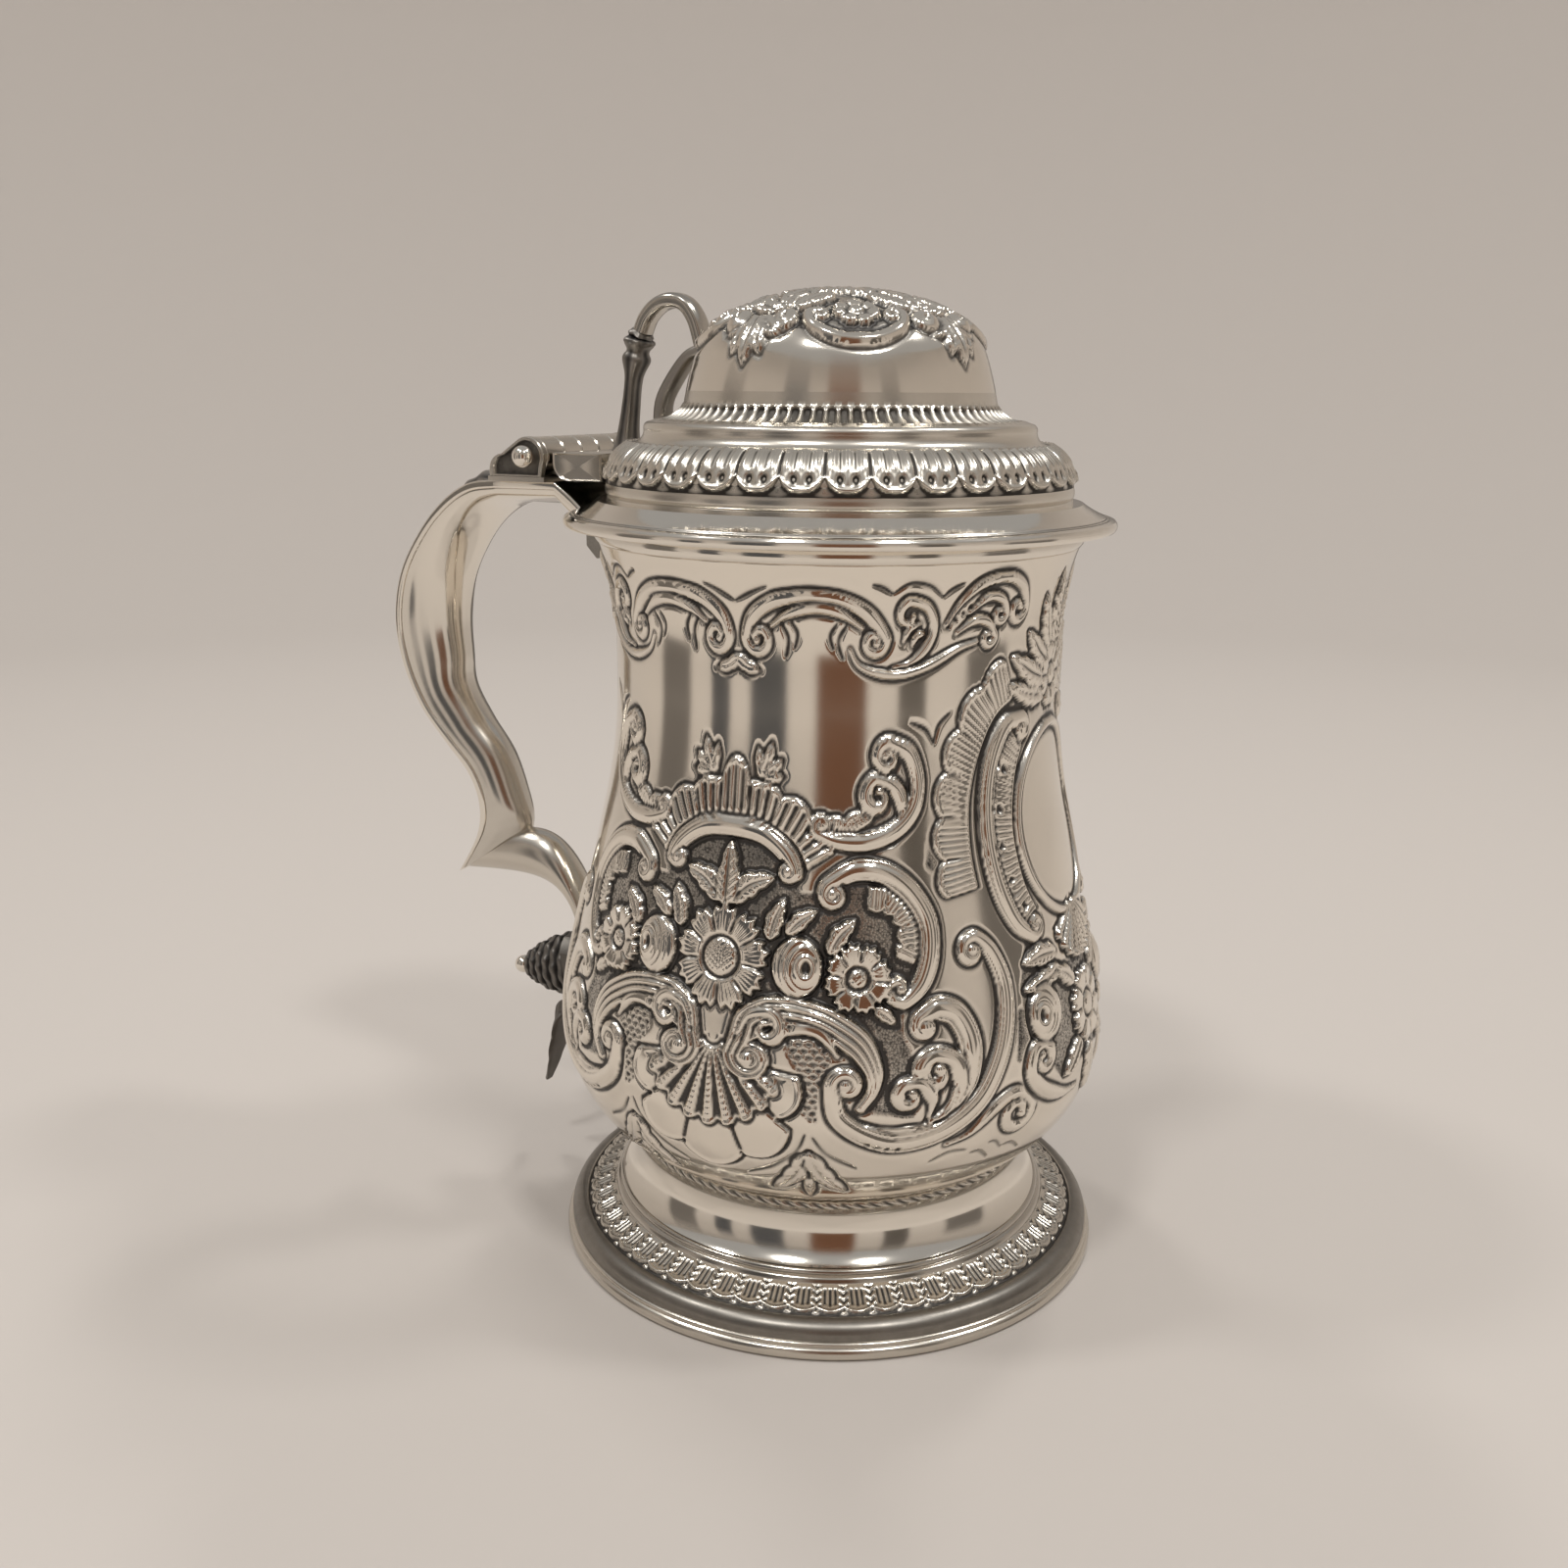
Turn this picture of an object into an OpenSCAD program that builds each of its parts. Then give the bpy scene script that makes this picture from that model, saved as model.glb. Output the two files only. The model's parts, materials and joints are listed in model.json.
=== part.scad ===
// Covered baluster tankard with a hollow double-scroll handle and a hinged, domed cover.
// Frame: the vessel's axis is Z, the table is z = 0 and the handle points along -X.

/* [Vessel] */
// Widest radius of the belly
belly_r = 57.2; // [52:0.2:62]
// Radius of the body where the foot is joined
neck_r = 42; // [38:0.2:45]
// Radius of the waist below the mouth
waist_r = 45; // [42:0.2:47]
// Outer radius of the body at the mouth
mouth_r = 48.4; // [46.8:0.2:49.6]
// Height from the foot's joint to the mouth
body_h = 125.1; // [118:0.5:132]
// Height from the foot's joint to the widest part
belly_rise = 23.8; // [20:0.2:28]
// Height from the foot's joint to the waist
waist_rise = 97.8; // [90:0.5:102]
// Height of the narrow band between the waist and the flare
waist_band = 8; // [4:0.2:12]
// Radius of the curve above the widest part
belly_curve = 60; // [45:1:75]
// Length of the straight slope between the belly's curve and the waist's
wall_straight = 36.1; // [24:0.1:42]
// Thickness of the raised sheet
wall = 1; // [0.8:0.05:1.4]
// Depth of the dished floor
floor_sag = 3.5; // [2:0.1:5]
// Height of the wire round the mouth
lip_h = 2.7; // [2:0.1:3.5]
// How far the mouth wire stands out from the body
lip_out = 0.8; // [0.5:0.05:1.2]

/* [Foot] */
// Radius of the standing wire
foot_r = 58.2; // [55:0.2:62]
// Height of the whole foot
foot_h = 25.2; // [22:0.2:30]
// Height of the standing wire
base_h = 3.6; // [2.5:0.1:4]
// Height of the spreading moulding's top above the table
moulding_top = 12.4; // [11.4:0.1:14]
// Radius of the collet where it meets the moulding
collet_r = 45.4; // [43.5:0.1:46]
// How far the collet draws in along its height
collet_hollow = 1.9; // [1:0.1:2.6]
// Thickness of the foot's sheet
foot_wall = 1.3; // [1:0.05:1.6]
// Inner radius of the applied strip
band_in = 47.4; // [47:0.1:48]
// Outer radius of the applied strip
band_out = 53.8; // [52.8:0.1:54.4]
// Thickness of the applied strip
band_t = 0.6; // [0.4:0.05:0.8]
// Scallops round the applied strip's edge
band_count = 60; // [48:2:72]

/* [Cover] */
// Gap between the mouth wire and the closed cover
lid_gap = 0.2; // [0.1:0.05:0.4]
// Radius of the overhanging rim
flange_r = 55.3; // [53.5:0.1:56]
// Thickness of the rim's edge
flange_edge = 1.9; // [1.4:0.1:2.4]
// Height of the rim from its seat to the step
flange_h = 5.1; // [4.4:0.1:6]
// Radius of the step on the rim
step_r = 48.6; // [48.2:0.1:49.4]
// Radius of the cover's upright wall
cover_r = 46.5; // [45.8:0.1:47]
// Height of the cover above the step
cover_h = 39.7; // [36:0.2:44]
// Height of the upright wall above the step
upright_h = 3.2; // [2.6:0.1:4]
// Height of the quarter-round with the tongues
tongue_h = 7.8; // [7.2:0.1:8.6]
// Radius at the top of the tongues
ovolo_r = 40.9; // [40.2:0.1:41.4]
// Height from the tongues' top to the edge of the fluted hollow
brow_h = 4.6; // [4:0.1:5.4]
// Height of the fluted hollow
cove_h = 3.1; // [2.6:0.1:3.6]
// Breadth of the fluted hollow
cove_w = 5.4; // [5:0.1:5.8]
// Thickness of the cover's sheet
lid_wall = 1; // [0.8:0.05:1.3]
// Radius of the dome at its foot
dome_r = 31; // [29:0.2:33]
// How far the dome draws in up to its shoulder
shoulder_in = 2.4; // [1.8:0.1:3]
// Height of the dome above its shoulder
shoulder_h = 11.6; // [10.6:0.1:12.6]
// Radius of the dome's cap
cap_r = 20; // [18:0.2:22]
// Height of the dome's cap
cap_h = 3.8; // [3:0.1:4.6]
// Tongues round the cover's border
tongue_count = 36; // [30:1:40]
// Thickness of the border of tongues
tongue_t = 0.8; // [0.6:0.05:1]
// Depth of the ring that drops into the mouth
bezel_h = 4; // [2.5:0.1:5]
// Room between that ring and the mouth
bezel_gap = 1.2; // [1:0.05:1.6]
// Thickness of that ring
bezel_wall = 1.2; // [0.9:0.05:1.6]

/* [Hinge] */
// Distance of the hinge pin from the vessel's axis
hinge_reach = 62; // [61:0.2:64]
// Height of the hinge pin above the cover's seat
hinge_rise = 12.6; // [12:0.1:13.6]
// Radius of the knuckles
knuckle_r = 3.9; // [3.6:0.05:4.1]
// Length of the five knuckles together
barrel_len = 34; // [30:0.5:38]
// Gap between neighbouring knuckles
knuckle_gap = 0.2; // [0.1:0.05:0.4]
// Radius of the hinge pin
pin_r = 1.5; // [1.2:0.05:1.8]
// Radial room of the pin in its bores
pin_clear = 0.05; // [0.02:0.01:0.1]
// Thickness of the end plates
cheek_t = 1.6; // [1.2:0.1:2.2]
// Radius of the balls on the pin's ends
finial_r = 2.3; // [2:0.05:2.8]
// Thickness of the plate on the handle
plate_t = 1; // [0.7:0.05:1.2]
// Gap between the knuckles and what they pass
swing_gap = 0.3; // [0.25:0.05:0.5]

/* [Handle] */
// How far the handle stands out beyond the hinge pin
handle_bow = 44.4; // [40:0.2:50]
// Half width of the handle at the hinge
handle_half = 15; // [13:0.2:16]
// Depth of the handle from its back to its inner line at the bow
grip_deep = 13.5; // [12:0.1:15]
// Depth of the handle at its root
root_deep = 6.8; // [6.2:0.1:7.4]
// Height of the handle's root above the cover's seat
root_rise = 1.4; // [1:0.1:2]
// Length of the handle's flat behind the hinge pin
flat_len = 11; // [10:0.2:12]
// Thickness of the back strap
strap_t = 1.8; // [1.4:0.1:2.2]
// How far the strap stands out past the hollow half
strap_out = 0.4; // [0.2:0.05:0.8]
// Thickness of the hollow half
shell_t = 1.2; // [0.9:0.05:1.5]
// Distance from the mouth wire to the handle's end
root_stand = 1.2; // [0.8:0.1:2]
// Height of the lower seat's top above the table
low_seat = 56; // [52:0.2:60]
// Height of the lower seat
low_seat_h = 15.5; // [13:0.2:18]
// Half width of the lower seat
low_half = 8; // [7:0.1:9]
// How far the lower seat stands out from the widest part
low_out = 6.8; // [6:0.1:8]
// Height of the drop behind the hinge
drop_h = 2.6; // [1.5:0.1:3]
// Length of the tiered cone
boss_len = 15; // [12:0.2:18]
// Radius of the tiered cone at its base
boss_r = 7.4; // [6.4:0.1:7.6]
// Tiers on the cone
boss_tiers = 6; // [4:1:8]
// Downward tilt of the cone
boss_tilt = 10; // [5:0.5:12]
// Radius of the ball on the cone
bead_r = 2.1; // [1.4:0.05:2.4]
// Length of the hanging leaf
leaf_len = 24; // [20:0.5:30]
// Thickness of the hanging leaf
leaf_t = 1.6; // [1.2:0.1:2]

/* [Thumbpiece] */
// Height of the post above the hinge bracket
stem_h = 24.4; // [21:0.2:26]
// Half width of the loop
loop_half = 2.8; // [2:0.1:3.4]
// Half thickness of the loop
loop_t = 1.7; // [1.2:0.05:2]

/* [Chasing] */
// Height of the chased ornament over the wall
chase_high = 0.9; // [0.5:0.05:1.2]
// Height of the chased ornament over the dome
crown_high = 1.1; // [0.6:0.05:1.4]
// Half width of the scrolls
scroll_half = 1.7; // [1.3:0.05:1.8]
// Radius of the large flower on each side
flower_r = 9; // [7.5:0.1:9.2]
// Radius of the lesser flowers
floret_r = 5.2; // [4:0.1:5.4]
// Radius of the buds
bud_r = 4.4; // [3.5:0.1:4.6]
// Radius of the shell under the large flower
shell_r = 16; // [14:0.2:17]

/* [Hidden] */
$fn = 96;
silver = [0.80, 0.76, 0.69];
shade = [0.62, 0.58, 0.52];
dark = [0.42, 0.39, 0.35];

// Levels, from the table up
belly_z = foot_h + belly_rise;
waist_z = foot_h + waist_rise;
flare_z = waist_z + waist_band;
mouth_z = foot_h + body_h;
lip_z = mouth_z + lip_h;
lid_z = lip_z + lid_gap;
step_z = lid_z + flange_h;
hinge_z = lid_z + hinge_rise;
plate_z = hinge_z - knuckle_r - swing_gap;
seat_z = plate_z - plate_t;

// Curves of the body's wall
lower_curve = ((belly_r - neck_r) ^ 2 + belly_rise ^ 2) / (2 * (belly_r - neck_r));
low_angle = -atan2(belly_rise, neck_r - belly_r + lower_curve);
wall_in = belly_r - waist_r;
tangent_z = waist_z - belly_z;
waist_curve = (wall_in ^ 2 + tangent_z ^ 2 - wall_straight ^ 2) / (2 * wall_in) - belly_curve;
tangent_x = waist_curve + belly_curve - wall_in;
slope = atan2(tangent_z, tangent_x)
    - acos((belly_curve + waist_curve) / norm([tangent_x, tangent_z]));
flare_in = mouth_r - waist_r;
flare_curve = (flare_in ^ 2 + (mouth_z - flare_z) ^ 2) / (2 * flare_in);

// Reach of the handle's parts along its own plane
lip_r = mouth_r + lip_out;
root_x = lip_r + root_stand;
pad_x = belly_r + low_out;
low_rise = seat_z - low_seat;
flat_in = hinge_reach - knuckle_r - swing_gap;
flat_out = hinge_reach + flat_len;
leaf_top = hinge_z + 0.2 * knuckle_r;
notch_half = handle_half + strap_out + 0.7;
knuckle_len = (barrel_len - 4 * knuckle_gap) / 5;
barrel_half = barrel_len / 2;
bore_r = pin_r + pin_clear;
cheek_y = barrel_half + knuckle_gap;

// Point v turned by t degrees
function turn(v, t) = [v[0] * cos(t) - v[1] * sin(t), v[0] * sin(t) + v[1] * cos(t)];

// Points of the arc from a to b that stands s to the left of its chord, without b
function bow(a, b, s, n = 6) =
    let (d = b - a)
    let (c = norm(d))
    let (r = (c * c / 4 + s * s) / (2 * s))
    let (o = (a + b) / 2 + [-d[1], d[0]] / c * (s - r))
    [for (i = [0:n - 1]) o + turn(a - o, -4 * atan(2 * s / c) * i / n)];

// Points of the circle about o with radius r, from angle a0 to a1, from step k on
function circ(o, r, a0, a1, n, k = 0) =
    [for (i = [k:n]) o + r * [cos(a0 + (a1 - a0) * i / n), sin(a0 + (a1 - a0) * i / n)]];

function backwards(l) = [for (i = [len(l) - 1:-1:0]) l[i]];

// The body's wall from the foot's joint up to the mouth, e outside its outer face
function wall_line(e) =
    let (flare_angle = asin((mouth_z - flare_z) / (flare_curve - e)))
    concat(
        circ([belly_r - lower_curve, belly_z], lower_curve + e, low_angle, 0, 14),
        circ([belly_r - belly_curve, belly_z], belly_curve + e, 0, slope, 5, 1),
        circ([waist_r + waist_curve, waist_z], waist_curve - e, 180 + slope, 180, 8),
        circ([waist_r + flare_curve, flare_z], flare_curve - e, 180, 180 - flare_angle, 8));

// A dished disc's line from the axis out to radius a, s deep, with its edge at height z
function dish(a, s, z) =
    let (r = (a * a + s * s) / (2 * s))
    [for (i = [0:7]) [r * sin(asin(a / r) * i / 8), z - s + r - r * cos(asin(a / r) * i / 8)]];

// Smooth curve through the rows of p, n steps to each
function between(a, b, c, d, t) =
    (2 * b + (c - a) * t + (2 * a - 5 * b + 4 * c - d) * t ^ 2
        + (3 * b - 3 * c + d - a) * t ^ 3) / 2;
function smooth(p, n) =
    let (m = len(p) - 1)
    concat(
        [for (i = [0:m - 1]) for (k = [0:n - 1])
            between(p[max(i - 1, 0)], p[i], p[i + 1], p[min(i + 2, m)], k / n)],
        [p[m]]);

// Solid through a row of closed rings with equally many points.
// A channel's ring goes round its outer line and back along its inner one.
module loft(given, channel = false) {
    m = len(given[0]);
    last = len(given) - 1;
    first = given[0];
    area = [for (j = [1:m - 2]) 1]
        * [for (j = [1:m - 2]) cross(first[j] - first[0], first[j + 1] - first[0])];
    ahead = [for (q = first) 1] * (given[1] - first);
    rings = area * ahead > 0 ? [for (r = given) backwards(r)] : given;
    top = last * m;
    sides = [for (i = [0:last - 1]) for (j = [0:m - 1])
        let (a = i * m + j, b = i * m + (j + 1) % m)
        each [[a, b, b + m], [a, b + m, a + m]]];
    plain = [[for (j = [m - 1:-1:0]) j], [for (j = [0:m - 1]) top + j]];
    strips = [for (j = [0:m / 2 - 2])
        let (k = m - 1 - j)
        each [
            [j, k, k - 1], [j, k - 1, j + 1],
            [top + j, top + k - 1, top + k], [top + j, top + j + 1, top + k - 1]]];
    ends = channel ? strips : plain;
    polyhedron([for (r = rings) each r], concat(sides, ends), convexity = 6);
}

// Oval ring across the handle's plane between two points of it
function oval(a, b, half, n = 14) =
    [for (j = [0:n - 1])
        let (p = (a + b) / 2 + (a - b) / 2 * cos(360 * j / n))
        [p[0], half * sin(360 * j / n), p[1]]];

// Rings of a rod along rows of [reach, height, half thickness, half width]
function rod(p) =
    let (m = len(p) - 1)
    [for (i = [0:m])
        let (q = p[min(i + 1, m)] - p[max(i - 1, 0)])
        let (u = [-q[1], q[0]] / norm([q[0], q[1]]) * p[i][2])
        oval([p[i][0], p[i][1]] - u, [p[i][0], p[i][1]] + u, p[i][3])];

// Puts what is drawn with the handle along +X where the handle is
module handle_side() {
    rotate([0, 0, 180]) children();
}

// Plate of the handle's plane, h thick across it
module across(h, y = 0) {
    translate([0, y, 0]) rotate([90, 0, 0]) linear_extrude(h, center = true) children();
}

// Everything inside the body's outer face and the mouth wire
module vessel_core() {
    rotate_extrude() polygon(concat(
        [[0, foot_h]], wall_line(0),
        [[lip_r, mouth_z], [lip_r, lip_z], [0, lip_z]]));
}

module body() {
    inner = wall_line(-wall);
    dish_r = neck_r - foot_wall - 0.3;
    color(silver) rotate_extrude() polygon(concat(
        dish(dish_r, floor_sag, foot_h),
        [[dish_r, foot_h]],
        wall_line(0),
        backwards(inner),
        backwards(dish(inner[0][0] - 0.5, floor_sag, inner[0][1]))));
}

module lip_ring() {
    inner = mouth_r - wall;
    color(silver) rotate_extrude() polygon(concat(
        [[inner, mouth_z]],
        [[lip_r - 0.5, mouth_z]],
        bow([lip_r - 0.15, mouth_z + 0.5], [lip_r - 0.15, lip_z - 0.6], -0.15),
        [[lip_r - 0.15, lip_z - 0.6], [lip_r - 0.6, lip_z], [inner, lip_z]]));
}

module seam_wire() {
    color(shade) rotate_extrude() polygon(concat(
        [[neck_r, foot_h - 1.7]],
        bow([neck_r + 0.6, foot_h - 1.7], [neck_r + 0.6, foot_h - 0.2], -0.7),
        [[neck_r + 0.6, foot_h - 0.2], [neck_r, foot_h - 0.2]]));
}

module foot_collet() {
    low = foot_h - 1.8;
    color(silver) rotate_extrude() polygon(concat(
        [[neck_r, foot_h]],
        bow([neck_r, low], [collet_r, moulding_top], -collet_hollow, 10),
        [[collet_r, moulding_top], [collet_r - foot_wall, moulding_top]],
        backwards(bow([neck_r - foot_wall, low], [collet_r - foot_wall, moulding_top],
            -collet_hollow, 10)),
        [[neck_r - foot_wall, foot_h]]));
}

band_top = moulding_top - 2.3;
band_low = moulding_top - 5.3;
spread_r = foot_r - 1.2;

module foot_moulding() {
    drop = band_t;
    color(silver) rotate_extrude() polygon(concat(
        [[collet_r - foot_wall, moulding_top]],
        bow([collet_r, moulding_top], [band_in - 0.3, band_top + 0.2], 0.7, 5),
        [[band_in, band_top], [band_in, band_top - drop], [band_out, band_low - drop]],
        bow([band_out, band_low], [spread_r, base_h + 1.2], 0.9, 6),
        [[spread_r, base_h + 1.2], [spread_r, base_h]],
        [[spread_r - 1.8, base_h], [band_out - 0.6, band_low - drop - foot_wall]],
        [[band_in - 0.6, band_top - drop - foot_wall]],
        [[collet_r - foot_wall, moulding_top - 2.6]]));
}

module foot_border() {
    pitch = 360 / band_count;
    notch = PI * band_out / band_count * 0.42;
    color(shade) difference() {
        rotate_extrude() polygon([
            [band_in, band_top - band_t], [band_out, band_low - band_t],
            [band_out, band_low], [band_in, band_top]]);
        for (i = [0:band_count - 1])
            rotate([0, 0, (i + 0.5) * pitch])
                translate([band_out + notch * 0.35, 0, band_low - 2])
                    cylinder(h = 5, r = notch, $fn = 24);
    }
}

module foot_base_wire() {
    inner = spread_r - 2.6;
    color(silver) rotate_extrude() polygon(concat(
        [[inner, 0]],
        bow([foot_r - 0.5, 0], [foot_r - 0.7, base_h], -0.5, 6),
        [[foot_r - 0.7, base_h], [inner, base_h]]));
}

// Back of the handle: rows of reach, height, step to the inner line and half width
upper_rows = [
    [root_x, lid_z + root_rise, 0, -root_deep, handle_half],
    [root_x + (flat_in - root_x) * 0.45, lid_z + (seat_z - lid_z) * 0.6, root_deep * 0.2,
        -root_deep * 0.91, handle_half],
    [flat_in, seat_z, root_deep * 0.15, -root_deep * 0.79, handle_half]];
bow_rows = [
    [0, 0, 0, -0.39, 1], [0.25, 0.011, -0.15, -0.44, 0.88], [0.49, 0.05, -0.36, -0.4, 0.77],
    [0.72, 0.117, -0.65, -0.28, 0.68], [0.92, 0.21, -0.9, -0.12, 0.61],
    [1, 0.312, -1, 0, 0.57], [0.97, 0.412, -0.95, 0.15, 0.52],
    [0.85, 0.507, -0.68, 0.385, 0.48], [0.665, 0.583, -0.535, 0.42, 0.45],
    [0.497, 0.65, -0.58, 0.325, 0.41], [0.425, 0.719, -0.71, 0.045, 0.39],
    [0.467, 0.793, -0.89, 0.325, 0.35], [0.644, 0.887, -1.325, 0.875, 0.31]];
bow_reach = hinge_reach + handle_bow - flat_out;
lower_rows = [for (r = bow_rows)
    [flat_out + r[0] * bow_reach, seat_z - r[1] * low_rise, r[2] * grip_deep, r[3] * grip_deep,
        r[4] * handle_half]];
handle_rows = concat(smooth(upper_rows, 4), smooth(lower_rows, 4));
bow_start = 9;

// A point s of the way from the back of the handle to its inner line, on row r
function on_row(r, s) = [r[0] + r[2] * s, r[1] + r[3] * s];
// The same, t millimetres in from the back
function in_row(r, t) = on_row(r, t / norm([r[2], r[3]]));

module handle_back_strap() {
    color(silver) handle_side() loft([for (r = handle_rows)
        let (a = on_row(r, 0), b = in_row(r, strap_t), h = r[4] + strap_out)
        [[a[0], -h, a[1]], [b[0], -h, b[1]], [b[0], h, b[1]], [a[0], h, a[1]]]]);
}

module handle_shell() {
    n = 12;
    color(silver) handle_side() loft([for (r = handle_rows)
        let (a = in_row(r, strap_t), b = on_row(r, 1))
        let (d = b - a, k = 1 - shell_t / norm(b - a))
        concat(
            [for (j = [0:n])
                let (p = a + d * sin(180 * j / n))
                [p[0], -r[4] * cos(180 * j / n), p[1]]],
            [for (j = [n:-1:0])
                let (p = a + d * k * sin(180 * j / n))
                [p[0], -(r[4] - shell_t) * cos(180 * j / n), p[1]]])], channel = true);
}

// Lower scroll: from the mitre at the spur to the lower seat
spur = lower_rows[len(lower_rows) - 1];
horn_rows = [
    [1, 0, 1], [0.84, 0.5, 1.06], [0.66, 0.9, 1.08], [0.46, 1, 1.05], [0.27, 0.83, 1],
    [0.12, 0.5, 0.95], [0.03, 0.2, 0.92], [0, 0, 0.9]];

module handle_lower_scroll() {
    top = on_row(spur, 1);
    tip = on_row(spur, 0);
    end_in = [belly_r + 0.09 * low_out, low_seat];
    end_out = [pad_x - 0.06 * low_out, low_seat];
    rows = [for (r = horn_rows)
        let (a = end_in + [(top[0] - end_in[0]) * r[0],
            (top[1] - end_in[1]) * (1 - (1 - r[0]) ^ 2.6)])
        let (b = end_out + [(tip[0] - end_out[0]) * r[0] ^ 1.7,
            (tip[1] - end_out[1]) * (1 - (1 - r[0]) ^ 3.4) + 0.18 * low_out * sin(180 * r[0])])
        [a[0], a[1], b[0], b[1], spur[4] * r[2]]];
    color(shade) handle_side() loft([for (r = smooth(rows, 3))
        oval([r[0], r[1]], [r[2], r[3]], r[4], 16)]);
}

module upper_handle_pad() {
    high = lip_z - 0.11 * lip_h;
    low = lid_z + root_rise - root_deep;
    deep = waist_r * 0.8;
    color(silver) handle_side() difference() {
        across(2 * handle_half) polygon([
            [deep, low], [root_x - 2 * root_stand, low - 0.38 * root_deep], [root_x, low],
            [root_x, high], [deep, high]]);
        vessel_core();
    }
}

// Outer face of the lower seat, tilted with the cone
low_foot = low_seat - low_seat_h;
boss_z = low_seat - low_seat_h * 0.52;
function pad_face(z) = pad_x + (z - boss_z) * tan(boss_tilt);

module lower_handle_pad() {
    deep = belly_r * 0.79;
    color(shade) handle_side() difference() {
        intersection() {
            across(2 * low_half) polygon([
                [deep, low_foot], [pad_face(low_foot), low_foot],
                [pad_face(low_seat), low_seat], [deep, low_seat]]);
            translate([deep - 1, 0, boss_z]) rotate([0, 90, 0])
                cylinder(h = pad_x, r = norm([low_half * 0.62, low_seat - boss_z]));
        }
        vessel_core();
    }
}

// Radius of the cone at share s of its length, full below and drawn in towards the ball
function boss_at(s) = boss_r - (boss_r - bead_r - 0.4) * (0.18 * s + 0.82 * s ^ 2.2);

module terminal_boss() {
    step = boss_len / boss_tiers;
    color(dark) handle_side()
        translate([pad_x, 0, boss_z]) rotate([0, 90 + boss_tilt, 0])
            rotate_extrude() polygon(concat(
                [[0, 0]],
                [for (i = [0:boss_tiers - 1])
                    let (r0 = boss_at(i / boss_tiers), r1 = boss_at((i + 1) / boss_tiers))
                    each concat(
                        bow([r0, i * step], [r1, (i + 1) * step - 0.2], -0.5, 4),
                        [[r1 - 0.25, (i + 1) * step - 0.1]])],
                [[bead_r * 0.6, boss_len], [0, boss_len]]));
}

module terminal_bead() {
    flat = bead_r * 0.8;
    color(silver) handle_side()
        translate([pad_x, 0, boss_z]) rotate([0, 90 + boss_tilt, 0])
            translate([0, 0, boss_len]) difference() {
                translate([0, 0, flat]) sphere(r = bead_r, $fn = 48);
                translate([0, 0, -bead_r]) cylinder(h = bead_r, r = 2 * bead_r);
            }
}

module terminal_leaf() {
    lobes = 3;
    n = 28;
    x0 = pad_face(low_foot) - leaf_t;
    color(dark) handle_side() loft([for (i = [0:n])
        let (s = i / n)
        let (p = [x0 + leaf_len * (0.36 * (1 - (1 - s) ^ 10) + 0.19 * s ^ 2), low_foot - leaf_len * s])
        let (q = max(0, (s - 0.22) / 0.78))
        let (w = leaf_len * (0.08 - 0.03 * q + 0.12 * sin(180 * q ^ 0.7)
            * (0.8 + 0.2 * abs(sin(180 * lobes * q)))))
        let (t = leaf_t * (1 - 0.45 * s) * (1 + sin(180 * min(1, s / 0.3))) / 2)
        [[p[0] - t, -w * 0.8, p[1]], [p[0] - t * 0.2, -w, p[1]], [p[0] + t, -w * 0.5, p[1]],
            [p[0] + t * (1 + min(0.8, 6 * s)), 0, p[1]], [p[0] + t, w * 0.5, p[1]],
            [p[0] - t * 0.2, w, p[1]],
            [p[0] - t, w * 0.8, p[1]]]]);
}

module handle_top_leaf() {
    n = 8;
    first = bow_start + 1;
    color(dark) handle_side() loft([for (i = [0:n])
        let (r = handle_rows[first + i], s = i / n)
        let (u = -[r[2], r[3]] / norm([r[2], r[3]]) * (0.5 + drop_h * sin(20 + 150 * s)))
        let (w = handle_half * (0.2 + 0.55 * cos(80 * s) * (0.88 + 0.12 * abs(sin(450 * s)))))
        let (a = on_row(r, 0))
        [for (k = [[0, 1], [0.6, 0.85], [0.95, 0.5], [1, 0], [0.95, -0.5], [0.6, -0.85], [0, -1]])
            [a[0] + u[0] * k[0], w * k[1], a[1] + u[1] * k[0]]]]);
}

module hinge_plate() {
    color(silver) handle_side()
        translate([flat_in + 0.2, -cheek_y - cheek_t, seat_z])
            cube([flat_out - flat_in - 1.4, 2 * (cheek_y + cheek_t), plate_t]);
}

module hinge_cheeks() {
    r = knuckle_r + 0.1;
    tail = flat_out - 1.5;
    line = [[hinge_reach - r * 0.8, plate_z], [tail, plate_z], [tail, plate_z + 1.6]];
    color(dark) handle_side() for (y = [-1, 1]) difference() {
        across(cheek_t, y * (cheek_y + cheek_t / 2)) polygon(concat(
            line,
            bow([tail, plate_z + 1.7], [tail - 3.4, plate_z + 4.6], -0.9, 5),
            circ([hinge_reach, hinge_z], r, 55, 205, 14)));
        translate([hinge_reach, 0, hinge_z]) rotate([90, 0, 0])
            cylinder(h = 3 * barrel_len, r = bore_r, center = true);
    }
}

// Knuckle number i of the hinge, with what joins it to its leaf
module knuckle(i) {
    y = -barrel_half + i * (knuckle_len + knuckle_gap) + knuckle_len / 2;
    difference() {
        across(knuckle_len, y) union() {
            translate([hinge_reach, hinge_z]) circle(r = knuckle_r);
            children();
        }
        translate([hinge_reach, 0, hinge_z]) rotate([90, 0, 0])
            cylinder(h = 2 * barrel_len, r = bore_r, center = true);
    }
}

module handle_hinge_lugs() {
    color(silver) handle_side() for (i = [0, 2, 4])
        knuckle(i) translate([hinge_reach - 2.4, plate_z])
            square([4.8, knuckle_r + swing_gap - pin_r - 1]);
}

module lid_hinge_lugs() {
    low = hinge_z - knuckle_r * 0.55;
    color(silver) handle_side() for (i = [1, 3])
        knuckle(i) translate([flat_in, low])
            square([knuckle_r + swing_gap - pin_r - 1, leaf_top - low]);
}

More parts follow.
